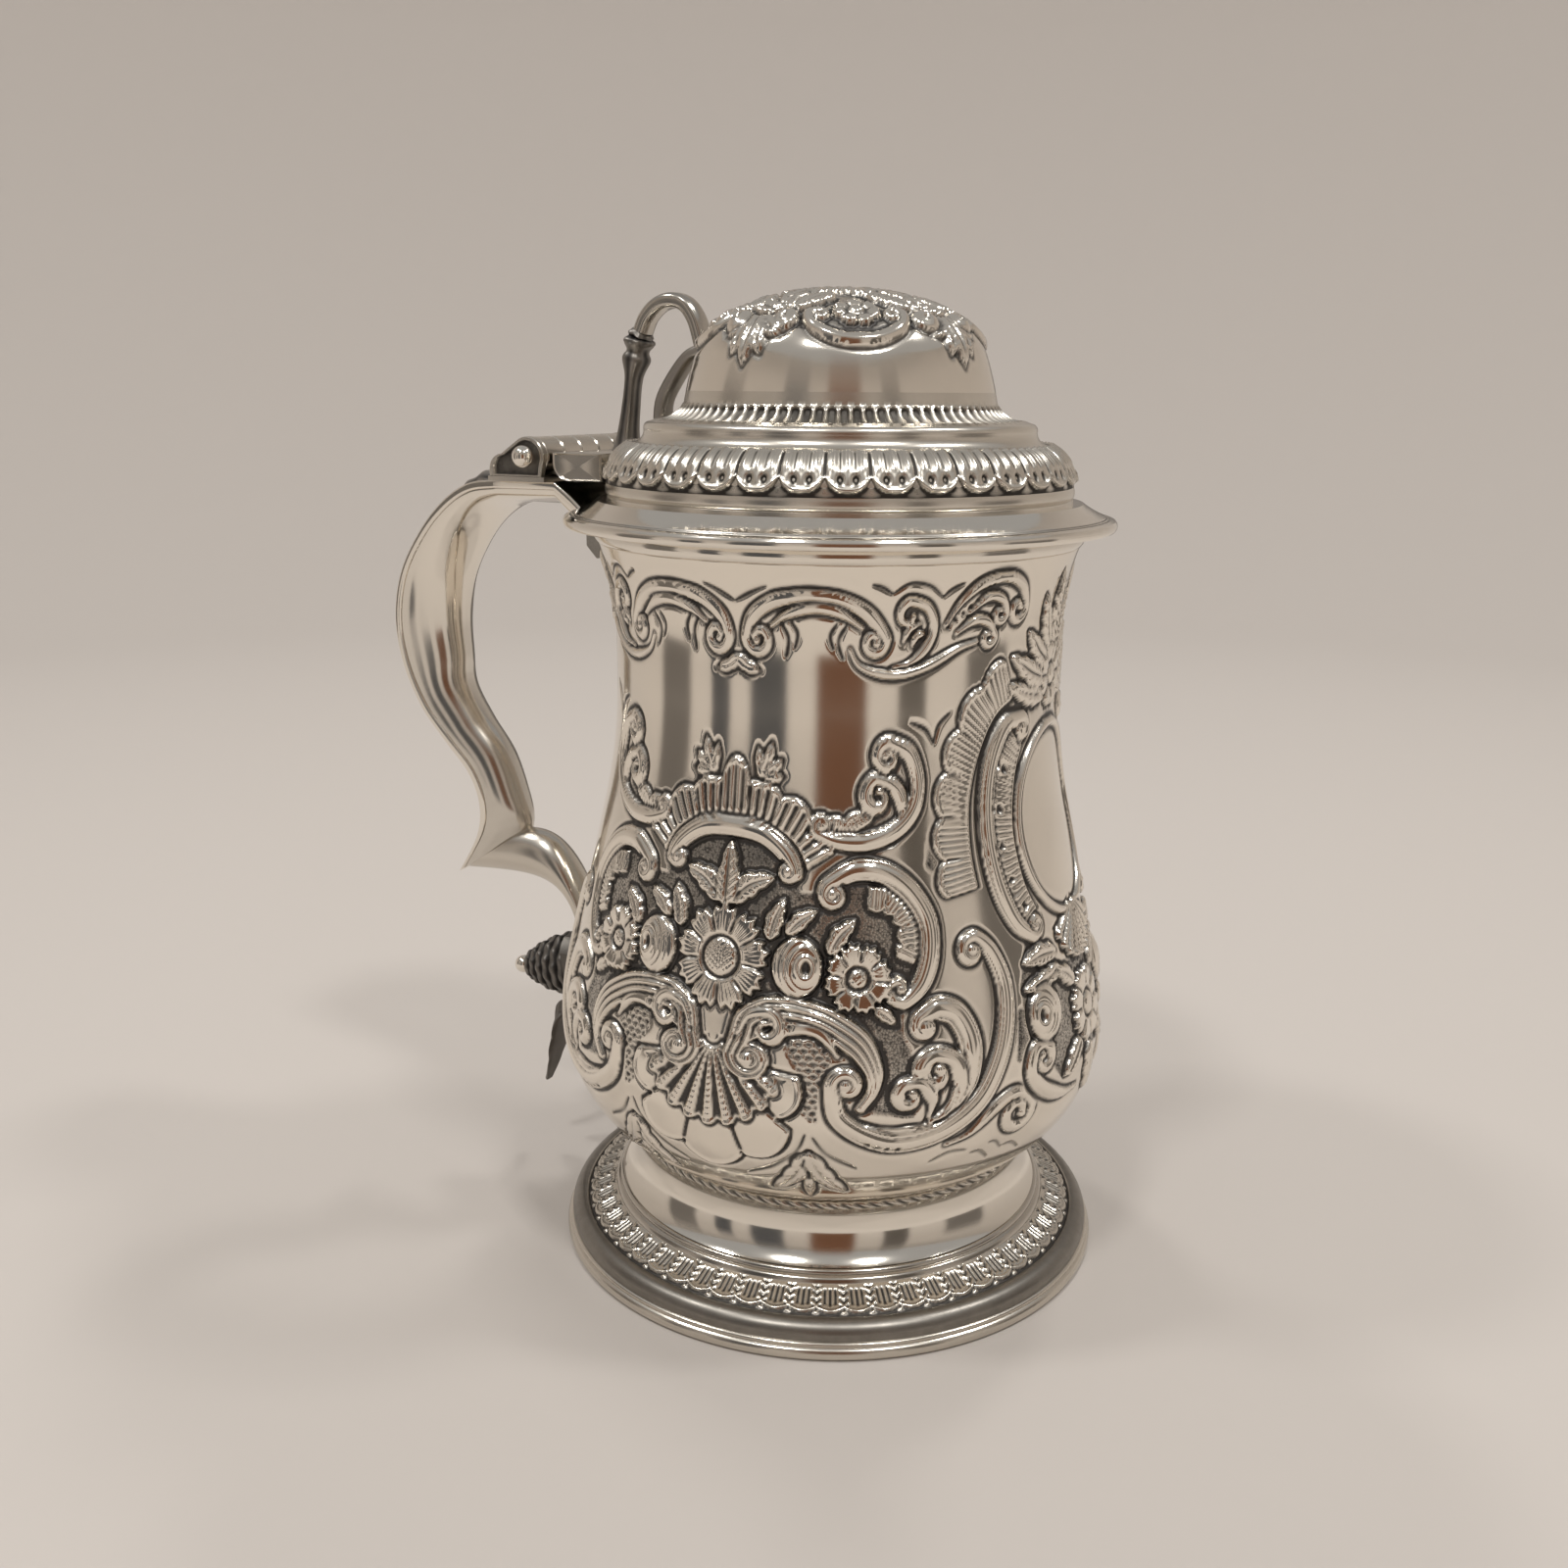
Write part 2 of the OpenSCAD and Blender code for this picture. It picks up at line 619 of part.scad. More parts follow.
module lid_hinge_leaf() {
    low = step_z + 0.81 * upright_h;
    color(shade) handle_side() difference() {
        across(barrel_len - 2) polygon(concat(
            [[cover_r - 12, low], [flat_in - 5.8, low]],
            bow([flat_in - 5, low], [flat_in, leaf_top - 2.4], -1.3, 8),
            [[flat_in, leaf_top - 2.4], [flat_in, leaf_top], [cover_r - 12, leaf_top]]));
        lid_core();
    }
}

module hinge_pin() {
    color(silver) handle_side() translate([hinge_reach, 0, hinge_z]) rotate([90, 0, 0])
        cylinder(h = 2 * (cheek_y + cheek_t), r = pin_r, center = true);
}

module pin_finials() {
    face = cheek_y + cheek_t;
    color(silver) handle_side() for (y = [-1, 1])
        translate([hinge_reach, y * face, hinge_z]) rotate([-90 * y, 0, 0])
            difference() {
                translate([0, 0, finial_r * 0.6]) sphere(r = finial_r, $fn = 64);
                translate([0, 0, -finial_r]) cylinder(h = finial_r, r = 2 * finial_r);
            }
}

// Levels and radii of the cover's mouldings
ovolo_z = step_z + upright_h;
ovolo_top = ovolo_z + tongue_h;
cove_r = dome_r + cove_w;
cove_z = ovolo_top + brow_h;
dome_z = cove_z + cove_h;
top_z = step_z + cover_h;
shoulder_r = dome_r - shoulder_in;
shoulder_z = top_z - shoulder_h;
brow_r = cove_r + 0.48 * cove_w;
brow_z = cove_z - 0.48 * brow_h;

// The quarter-round that carries the tongues, e outside the cover's sheet
function ovolo(e) =
    bow([cover_r + e, ovolo_z], [ovolo_r, ovolo_top + e], -1.6, 8);

// The cover's outer line above the quarter-round
function crown() = concat(
    bow([ovolo_r, ovolo_top], [brow_r, brow_z], 0.5, 4),
    bow([brow_r, brow_z], [cove_r + 1.4, cove_z - 0.5], -0.5, 5),
    [[cove_r, cove_z]],
    bow([cove_r, cove_z - 0.1], [dome_r, dome_z], 0.9, 6),
    dome_line());

// The dome's outer line from its foot to the top
function dome_line() = concat(
    bow([dome_r, dome_z], [shoulder_r, shoulder_z], -0.2, 4),
    bow([shoulder_r, shoulder_z], [cap_r, top_z - cap_h], -1.4, 6),
    backwards(dish_up(cap_r, cap_h, top_z)));

// A cap's line from the axis out to radius a, s high, with its top at height z
function dish_up(a, s, z) =
    let (r = (a * a + s * s) / (2 * s))
    [for (i = [0:8]) [r * sin(asin(a / r) * i / 8), z - r + r * cos(asin(a / r) * i / 8)]];

// The space that the cover and its tongues fill
module lid_core() {
    rotate_extrude() polygon(concat(
        [[0, lid_z], [step_r, lid_z], [step_r, step_z], [cover_r, step_z]],
        ovolo(tongue_t), crown()));
}

module lid_cover() {
    w = lid_wall;
    color(silver) rotate_extrude() polygon(concat(
        [[cover_r - w, step_z], [cover_r, step_z]],
        ovolo(0),
        crown(),
        dish_up(cap_r - w, cap_h, top_z - w),
        backwards(concat(
            bow([cover_r - w, ovolo_z], [ovolo_r - w, ovolo_top - w], -1.4, 6),
            bow([ovolo_r - w, ovolo_top - w], [cove_r - w, cove_z - 1.6 * w], 0.3, 4),
            bow([cove_r - w, cove_z - 1.6 * w], [dome_r - w, dome_z - w], 0.9, 5),
            bow([dome_r - w, dome_z - w], [shoulder_r - w, shoulder_z], -0.2, 4),
            bow([shoulder_r - w, shoulder_z], [cap_r - w, top_z - cap_h - w], -1.4, 5)))));
}

module lid_flange() {
    inner = mouth_r - wall - bezel_gap - bezel_wall - 0.6;
    rest = lip_r + 0.4;
    slope_z = lid_z + flange_edge;
    color(silver) difference() {
        rotate_extrude() polygon(concat(
            [[inner, lid_z], [rest, lid_z], [rest + 0.3, step_z - 1.6]],
            [[flange_r - 1.5, slope_z - 0.6], [flange_r - 1.2, lid_z]],
            bow([flange_r - 0.4, lid_z], [flange_r - 0.4, slope_z], -0.4, 5),
            [[flange_r - 0.4, slope_z]],
            bow([flange_r - 1, slope_z + 0.2], [step_r, step_z], 0.3, 5),
            [[step_r, step_z], [inner, step_z]]));
        handle_side() translate([root_x - 0.6, -notch_half, lid_z - 1])
            cube([20, 2 * notch_half, flange_h + 2]);
    }
}

module lid_bezel() {
    outer = mouth_r - wall - bezel_gap;
    color(silver) rotate_extrude() polygon([
        [outer - bezel_wall, lid_z - bezel_h], [outer - 0.4, lid_z - bezel_h],
        [outer, lid_z - bezel_h + 0.4], [outer, lid_z], [outer - bezel_wall, lid_z]]);
}

module lid_gadroon_border() {
    pitch = 360 / tongue_count;
    foot = cover_r - 3 * tongue_t;
    half = PI * foot / tongue_count;
    centre_z = ovolo_z + half;
    color(shade) intersection() {
        rotate_extrude() polygon(concat(
            ovolo(tongue_t), [[ovolo_r, ovolo_top + tongue_t], [ovolo_r, ovolo_top]],
            backwards(ovolo(0))));
        union() {
            translate([0, 0, centre_z]) cylinder(h = 12, r = cover_r + 4);
            for (i = [0:tongue_count - 1])
                rotate([0, 0, (i + 0.5) * pitch]) translate([foot, 0, centre_z])
                    rotate([0, 90, 0]) cylinder(h = 5, r = half - 0.1, $fn = 32);
        }
    }
}

// Rows of the thumbpiece from the bracket over to the dome: reach and height as shares of
// the post's height, half thickness and half width as shares of the loop's half width
stem_x = cover_r + 0.094 * stem_h;
stem_rows = [
    [0.004, -0.03, 1.04, 1.57], [0, 0.13, 0.64, 1.21], [-0.033, 0.38, 0.5, 1],
    [-0.066, 0.62, 0.5, 1], [-0.094, 0.78, 0.64, 1.14], [-0.111, 0.84, 0.61, 1.11],
    [-0.123, 0.9, 0.93, 1.36], [-0.139, 0.96, 0.89, 1.32]];
loop_z = leaf_top + stem_h;
loop_end = [dome_r - 0.25 * shoulder_in, shoulder_z + 0.12 * shoulder_h];
loop_start = stem_x - 0.164 * stem_h;
loop_mid = (loop_start + loop_end[0]) / 2;
loop_top = loop_z + 0.25 * stem_h;
loop_rows = [
    [loop_start, loop_z, loop_t, loop_half],
    [loop_start - 0.057 * stem_h, loop_z + 0.115 * stem_h, loop_t, loop_half],
    [loop_mid + 0.131 * stem_h, loop_top - 0.037 * stem_h, loop_t, loop_half],
    [loop_mid, loop_top, loop_t, loop_half],
    [loop_mid - 0.131 * stem_h, loop_top - 0.037 * stem_h, loop_t, loop_half],
    [loop_end[0] + 0.066 * stem_h, loop_z + 0.082 * stem_h, loop_t, loop_half],
    [loop_end[0], loop_end[1], loop_t, loop_half]];
thumb_steps = 3;
thumb_rings = rod(smooth(concat(
    [for (r = stem_rows)
        [stem_x + r[0] * stem_h, leaf_top + r[1] * stem_h, r[2] * loop_half, r[3] * loop_half]],
    loop_rows), thumb_steps));
stem_end = len(stem_rows) * thumb_steps;

module thumbpiece_stem() {
    color(shade) handle_side() difference() {
        loft([for (i = [0:stem_end]) thumb_rings[i]]);
        translate([0, -10, leaf_top - 10]) cube([80, 20, 10]);
    }
}

module loop_rod() {
    loft([for (i = [stem_end:len(thumb_rings) - 1]) thumb_rings[i]]);
}

module thumbpiece_loop() {
    color(shade) handle_side() difference() {
        loop_rod();
        lid_core();
    }
}

module thumbpiece_return() {
    x1 = ovolo_r - 0.2 * loop_half;
    z1 = cove_z - 0.57 * brow_h;
    drop = loop_end[1] - z1;
    shares = [
        [loop_end[0] + 0.14 * loop_half, loop_end[1] - 0.21 * loop_half, 0.5, 0.93],
        [loop_end[0] + 1.2 * loop_half, loop_end[1] - 0.7 * loop_half, 0.5, 0.96],
        [x1 - 1.07 * loop_half, z1 + drop * 0.62, 0.54, 1],
        [x1 - 0.14 * loop_half, z1 + drop * 0.34, 0.54, 1], [x1, z1, 0.57, 1.04]];
    rows = [for (r = shares) [r[0], r[1], r[2] * loop_half, r[3] * loop_half]];
    color(dark) handle_side() difference() {
        loft(rod(smooth(rows, 4)));
        lid_core();
        loop_rod();
    }
}

// A turned face for the chasing: reach and height for each percent of the way up its line
function way(p, i) = i == 0 ? 0 : way(p, i - 1) + norm(p[i] - p[i - 1]);
dome_path = dome_line();
dome_way = way(dome_path, len(dome_path) - 1) / 100;
dome_face = [
    [for (i = [0:len(dome_path) - 1]) [way(dome_path, i) / dome_way, dome_path[i][0]]],
    [for (i = [0:len(dome_path) - 1]) [way(dome_path, i) / dome_way, dome_path[i][1]]]];
wall_face = [
    [for (p = wall_line(0)) [100 * (p[1] - foot_h) / body_h, p[0]]],
    [[0, foot_h], [100, mouth_z]]];
// Room under the chasing, so that its flat facets clear the round wall
chase_gap = 0.25;

function face_at(face, v) = [lookup(v, face[0]), lookup(v, face[1])];
// Millimetres to a degree round the face and to a percent up it
function face_grain(face, v) =
    [face_at(face, v)[0] * PI / 180, norm(face_at(face, v + 1) - face_at(face, v - 1)) / 2];
// Point of the face at angle b and percent v, e outside it
function on_face(face, b, v, e) =
    let (d = face_at(face, v + 1) - face_at(face, v - 1))
    let (p = face_at(face, v) + (e + chase_gap) * [d[1], -d[0]] / norm(d))
    [p[0] * cos(b), p[0] * sin(b), p[1]];
// Point of the face r millimetres from the place [b, v] in direction a
function about(face, place, r, a, e) =
    let (g = face_grain(face, place[1]))
    on_face(face, place[0] + r * cos(a) / g[0], place[1] + r * sin(a) / g[1], e);

// Ridge beside rows of [b, v]: on their left with lean 1, on their right with -1
module stroke(face, rows, half, high, lean = 0) {
    m = len(rows) - 1;
    loft([for (i = [0:m])
        let (g = face_grain(face, rows[i][1]), d = rows[min(i + 1, m)] - rows[max(i - 1, 0)])
        let (t = [d[0] * g[0], d[1] * g[1]])
        let (u = [-t[1] / g[0], t[0] / g[1]] / norm(t))
        let (w = half * (0.45 + 0.55 * sqrt(sin(180 * i / m))))
        [for (q = [[-1, 0], [-0.5, 1], [0.5, 1], [1, 0]])
            let (c = rows[i] + u * w * (q[0] + lean))
            on_face(face, c[0], c[1], q[1] * high * (0.5 + 0.5 * w / half))]]);
}

// Flower of n petals round a raised eye
module flower(face, place, r, n, high) {
    steps = [
        [0.2, 1, 1], [0.36, 0.4, 0.4], [0.96, 0.4, 0.75], [1, 0, 0], [0.6, 0, 0], [0.2, 0, 0]];
    loft([for (s = steps)
        [for (j = [0:2 * n - 1])
            let (petal = j % 2)
            about(face, place, r * s[0] * (petal == 1 || s[0] < 0.5 ? 1 : 0.82), 180 * j / n,
                high * s[1 + petal])]]);
}

// Ribbed fan round a place, from radius r0 to r1 and half an angle to each side of direction a
module fan(face, place, r0, r1, a, half_angle, ribs, high) {
    loft([for (j = [0:2 * ribs])
        let (t = a + half_angle * (j / ribs - 1), rib = j % 2 == 1)
        let (h = rib ? high : 0.45 * high, r = rib ? r1 : 0.93 * r1)
        [about(face, place, r0, t, 0), about(face, place, r0 + 0.1 * r1, t, 0.6 * h),
            about(face, place, r - 0.07 * r1, t, h), about(face, place, r, t, 0),
            about(face, place, (r0 + r) / 2, t, 0)]]);
}

// A line that starts on the middle of its motif, with its mirror image
function whole(rows) =
    concat([for (i = [len(rows) - 1:-1:1]) [-rows[i][0], rows[i][1]]], rows);

module both_sides() {
    for (y = [0, 1]) mirror([0, y, 0]) rotate([0, 0, 90]) children();
}

module four_quarters() {
    for (x = [0, 1]) mirror([x, 0, 0]) both_sides() children();
}

// Scrolls of half a flank: degrees from its middle and percent of the body's height
upper_scroll = [
    [34.5, 70], [32, 73], [35, 75], [39, 74.5], [43, 71.5], [44, 67], [41.5, 62.5], [36, 59.5],
    [29, 58.5], [22, 59], [18, 61.5], [19, 64.5], [22, 64]];
flower_scroll = [
    [26, 52], [23.5, 50], [20.5, 52], [21.5, 55.5], [27.5, 57.5], [34.5, 57], [41, 54], [45, 49.5],
    [45.5, 44], [42.5, 40], [38, 38.5], [35, 39.5]];
shell_scroll = [
    [10.5, 28.5], [9.5, 26], [6, 26], [3.5, 28.5], [3, 32], [5, 35.5], [9.5, 37.5], [16, 37.5],
    [23.5, 36.5], [29.5, 32.5], [32.5, 28], [32, 24.5]];
great_scroll = [
    [27, 24.5], [28.5, 26.5], [26, 28], [22.5, 26.5], [22, 22.5], [24.5, 18.5], [29.5, 15.5],
    [36.5, 14.5], [45, 15.5], [49, 17.2], [53, 19.5], [58.5, 25.5], [61.5, 32], [62, 38], [59.5, 43],
    [55.5, 45.5], [51.5, 45], [50, 42.5]];
leaf_scroll = [[43, 19], [48.5, 21.5], [52, 26], [52.5, 30.5], [49.5, 34], [45, 35], [41.5, 33.5]];
arch = [
    [0, 62.7], [5, 62.4], [10, 61.3], [14.5, 59], [17, 56], [16.3, 53.3], [13.8, 52.3], [11.5, 53.8]];
mouth_arch = [
    [8, 88.5], [6, 86.5], [3, 87.5], [1.5, 91], [3.5, 93.5], [8, 95.5], [13.5, 96.3], [18.5, 96.4],
    [25, 95.8], [31, 93.5], [34.8, 90.5], [35, 87], [32, 85.5], [29.5, 87.5]];
mouth_leaf = [[39, 88], [43, 91], [49, 92.5], [55, 91.5], [58, 88]];
frame_scroll = [
    [11.5, 75.5], [14, 77], [18, 77], [23.5, 75.5], [28.5, 71], [31.5, 65], [32, 57.5], [30, 50],
    [26, 44.5], [21, 42], [17, 43], [17, 46]];
ruffle = [[24, 80], [31, 76], [36, 69.5], [39, 62.5], [39.5, 56], [38.5, 50.5]];

module flank_chasing() {
    color(silver) four_quarters() {
        stroke(wall_face, upper_scroll, scroll_half, chase_high, -1);
        stroke(wall_face, flower_scroll, scroll_half, chase_high, -1);
        stroke(wall_face, shell_scroll, scroll_half, chase_high, -1);
        stroke(wall_face, great_scroll, scroll_half, chase_high, 1);
        stroke(wall_face, leaf_scroll, scroll_half, chase_high, 1);
        flower(wall_face, [27.8, 41.5], floret_r, 7, chase_high);
        flower(wall_face, [17, 43], bud_r, 4, 1.2 * chase_high);
        stroke(wall_face, [[7, 63.7], [8.5, 67], [9.5, 70.5]], 1.5 * scroll_half, chase_high);
    }
    color(silver) both_sides() {
        stroke(wall_face, whole(arch), scroll_half, chase_high, -1);
        stroke(wall_face, [[0, 64], [0, 68.5], [0, 73]], 2 * scroll_half, chase_high);
        flower(wall_face, [0, 42.5], flower_r, 9, 1.2 * chase_high);
        fan(wall_face, [0, 29.8], 0.62 * shell_r, shell_r, -90, 50, 7, chase_high);
    }
}

module front_chasing() {
    oval_ridge = [for (t = [4:17.2:176]) [19.6 * sin(t), 58.4 + 14.9 * cos(t)]];
    color(silver) for (y = [0, 1]) mirror([0, y, 0]) {
        stroke(wall_face, frame_scroll, scroll_half, chase_high, -1);
        stroke(wall_face, oval_ridge, 0.5 * scroll_half, 0.7 * chase_high);
        stroke(wall_face, ruffle, 2.2 * scroll_half, 0.8 * chase_high);
        flower(wall_face, [18.5, 30.7], bud_r, 4, chase_high);
    }
    color(silver) {
        flower(wall_face, [0, 81], 1.1 * floret_r, 7, chase_high);
        flower(wall_face, [0, 27.8], 1.25 * floret_r, 8, chase_high);
        fan(wall_face, [0, 44], 0.12 * shell_r, 0.5 * shell_r, -90, 50, 5, chase_high);
    }
}

module mouth_chasing() {
    color(silver) four_quarters() {
        stroke(wall_face, mouth_arch, 0.8 * scroll_half, 0.8 * chase_high, -1);
        stroke(wall_face, mouth_leaf, 0.8 * scroll_half, 0.8 * chase_high);
    }
}

// Scroll under each flower of the dome: degrees from its middle and percent of the dome's line
dome_scroll = [[0, 25], [9, 27], [18, 33], [23, 42], [20, 48], [15, 46]];
dome_turn = 30;

module dome_chasing() {
    color(silver) for (i = [0:3]) rotate([0, 0, dome_turn + 90 * i]) {
        stroke(dome_face, whole(dome_scroll), 0.9 * scroll_half, crown_high, 1);
        flower(dome_face, [0, 48], 0.8 * floret_r, 6, crown_high);
        for (b = [-32, 32])
            flower(dome_face, [b, 42], 0.6 * bud_r, 4, crown_high);
        for (b = [-5.5, 0, 5.5])
            stroke(dome_face, [for (k = [0:4]) [45 + b * (0.6 + 0.1 * k), 44 - 7.5 * k]],
                0.55 * scroll_half, 0.8 * crown_high);
    }
    steps = [
        [5, 1, 1], [11, 0.4, 0.5], [27, 0.3, 0.7], [30, 0, 0], [22, 0, 0], [13, 0, 0], [5, 0, 0]];
    color(silver) loft([for (s = steps)
        [for (j = [0:15])
            let (petal = j % 2)
            on_face(dome_face, 22.5 * j, 100 - s[0] * (petal == 1 || s[0] < 20 ? 1 : 0.7),
                crown_high * s[1 + petal])]]);
}

body();
lip_ring();
seam_wire();
foot_collet();
foot_moulding();
foot_border();
foot_base_wire();
handle_back_strap();
handle_shell();
handle_lower_scroll();
upper_handle_pad();
lower_handle_pad();
terminal_boss();
terminal_bead();
terminal_leaf();
handle_top_leaf();
hinge_plate();
hinge_cheeks();
handle_hinge_lugs();
lid_hinge_lugs();
lid_hinge_leaf();
hinge_pin();
pin_finials();
lid_cover();
lid_flange();
lid_bezel();
lid_gadroon_border();
thumbpiece_stem();
thumbpiece_loop();
thumbpiece_return();
flank_chasing();
front_chasing();
mouth_chasing();
dome_chasing();
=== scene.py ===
# %% [markdown]
# # A covered silver tankard with chased ornament
#
# The CAD model gives the pieces their places, sizes and hinge. This script dresses them: every
# visible piece is worked out again with numpy as a smooth surface, and the raised ornament that
# the silversmith chased into the sheet is a height field on those surfaces. Lengths are written
# in millimetres, as in the drawing, and become metres when a mesh is made.

# %% Load the frame
import json
import bpy
import numpy as np
from mathutils import Matrix

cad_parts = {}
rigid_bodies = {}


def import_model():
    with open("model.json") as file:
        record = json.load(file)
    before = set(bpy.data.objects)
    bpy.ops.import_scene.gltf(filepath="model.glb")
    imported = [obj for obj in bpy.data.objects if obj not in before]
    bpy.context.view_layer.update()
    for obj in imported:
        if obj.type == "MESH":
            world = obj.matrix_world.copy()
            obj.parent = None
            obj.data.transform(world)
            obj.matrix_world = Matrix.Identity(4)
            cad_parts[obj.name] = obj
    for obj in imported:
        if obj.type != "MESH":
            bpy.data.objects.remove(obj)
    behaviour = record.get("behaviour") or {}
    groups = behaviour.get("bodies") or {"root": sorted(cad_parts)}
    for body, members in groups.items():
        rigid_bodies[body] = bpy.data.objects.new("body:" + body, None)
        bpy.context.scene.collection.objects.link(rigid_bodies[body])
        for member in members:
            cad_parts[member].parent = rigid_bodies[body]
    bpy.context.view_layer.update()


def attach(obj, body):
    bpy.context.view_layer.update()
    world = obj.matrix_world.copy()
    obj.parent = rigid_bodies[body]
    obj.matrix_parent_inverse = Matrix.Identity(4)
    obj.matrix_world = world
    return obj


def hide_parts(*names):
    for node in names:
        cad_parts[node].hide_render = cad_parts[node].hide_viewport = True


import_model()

# %% [markdown]
# ## Lines and surfaces
#
# A turned piece is a line carried round an axis, and a handle is a section carried along a path.
# Both end up as a grid of points, so one function can turn any grid into a mesh. It joins
# neighbouring points into four-sided faces, closes the ends, merges points that meet on an axis,
# and turns the faces outwards by the sign of the volume that they enclose.

# %% Lines in the plane
pi = np.pi


def bow(a, b, rise, n):
    """Circular arc from a to b that stands `rise` to the left of its chord; n points without b."""
    a, b = np.array(a, float), np.array(b, float)
    chord = b - a
    c = np.hypot(*chord)
    r = (c * c / 4 + rise * rise) / (2 * rise)
    o = (a + b) / 2 + np.array([-chord[1], chord[0]]) / c * (rise - r)
    t = -4 * np.arctan(2 * rise / c) * np.arange(n) / n
    v = a - o
    return o + np.stack([v[0] * np.cos(t) - v[1] * np.sin(t), v[0] * np.sin(t) + v[1] * np.cos(t)], 1)


def arc(o, r, a0, a1, n):
    """The n points of the circle about o with radius r, from a0 to a1 degrees."""
    t = np.radians(np.linspace(a0, a1, n))
    return np.stack([o[0] + r * np.cos(t), o[1] + r * np.sin(t)], 1)


def line(*parts):
    """Puts points and runs of points one after another."""
    return np.concatenate([np.atleast_2d(np.array(p, float)) for p in parts])


def lengths(p):
    """Distance along a run of points up to each of them."""
    return np.concatenate([[0], np.cumsum(np.linalg.norm(np.diff(p, axis=0), axis=1))])


def along(p, s):
    """The points of run p at the distances s along it."""
    d = lengths(p)
    return np.stack([np.interp(s, d, p[:, k]) for k in range(p.shape[1])], 1)


def spread(marks, counts):
    """Parts each span between neighbouring marks into its count of equal steps."""
    spans = [np.linspace(a, b, n, endpoint=False) for a, b, n in zip(marks[:-1], marks[1:], counts)]
    return np.concatenate(spans + [marks[-1:]])


def even(p, gap):
    """Run p with points about `gap` apart that keeps its corners."""
    d = lengths(p)
    keep = np.concatenate([[True], np.diff(d) > 1e-6])
    p, d = p[keep], d[keep]
    counts = np.maximum(np.ceil(np.diff(d) / gap), 1).astype(int)
    return along(p, spread(d, counts))


def curve(p, n):
    """Catmull-Rom curve through the rows of p, in n steps a span: each span is the cubic that keeps its
    neighbours' slopes."""
    p = np.array(p, float)
    q = np.concatenate([[2 * p[0] - p[1]], p, [2 * p[-1] - p[-2]]])
    t = np.arange(n)[None, :, None] / n
    a, b, c, d = (q[k:len(q) - 3 + k][:, None] for k in range(4))
    spans = (2 * b + (c - a) * t + (2 * a - 5 * b + 4 * c - d) * t**2 + (3 * b - 3 * c + d - a) * t**3) / 2
    return np.concatenate([spans.reshape(-1, p.shape[1]), p[-1:]])


def step(a, b, x):
    """Rises smoothly from 0 at a to 1 at b."""
    t = np.clip((x - a) / (b - a), 0, 1)
    return t * t * (3 - 2 * t)


def left_of(run):
    """Unit vectors to the left of a run of points, square to the slope between neighbouring points."""
    d = np.gradient(run, axis=0)
    d = d / np.maximum(np.linalg.norm(d, axis=1), 1e-9)[:, None]
    return np.stack([-d[:, 1], d[:, 0]], 1)


# %% From a grid of points to a mesh
made = []


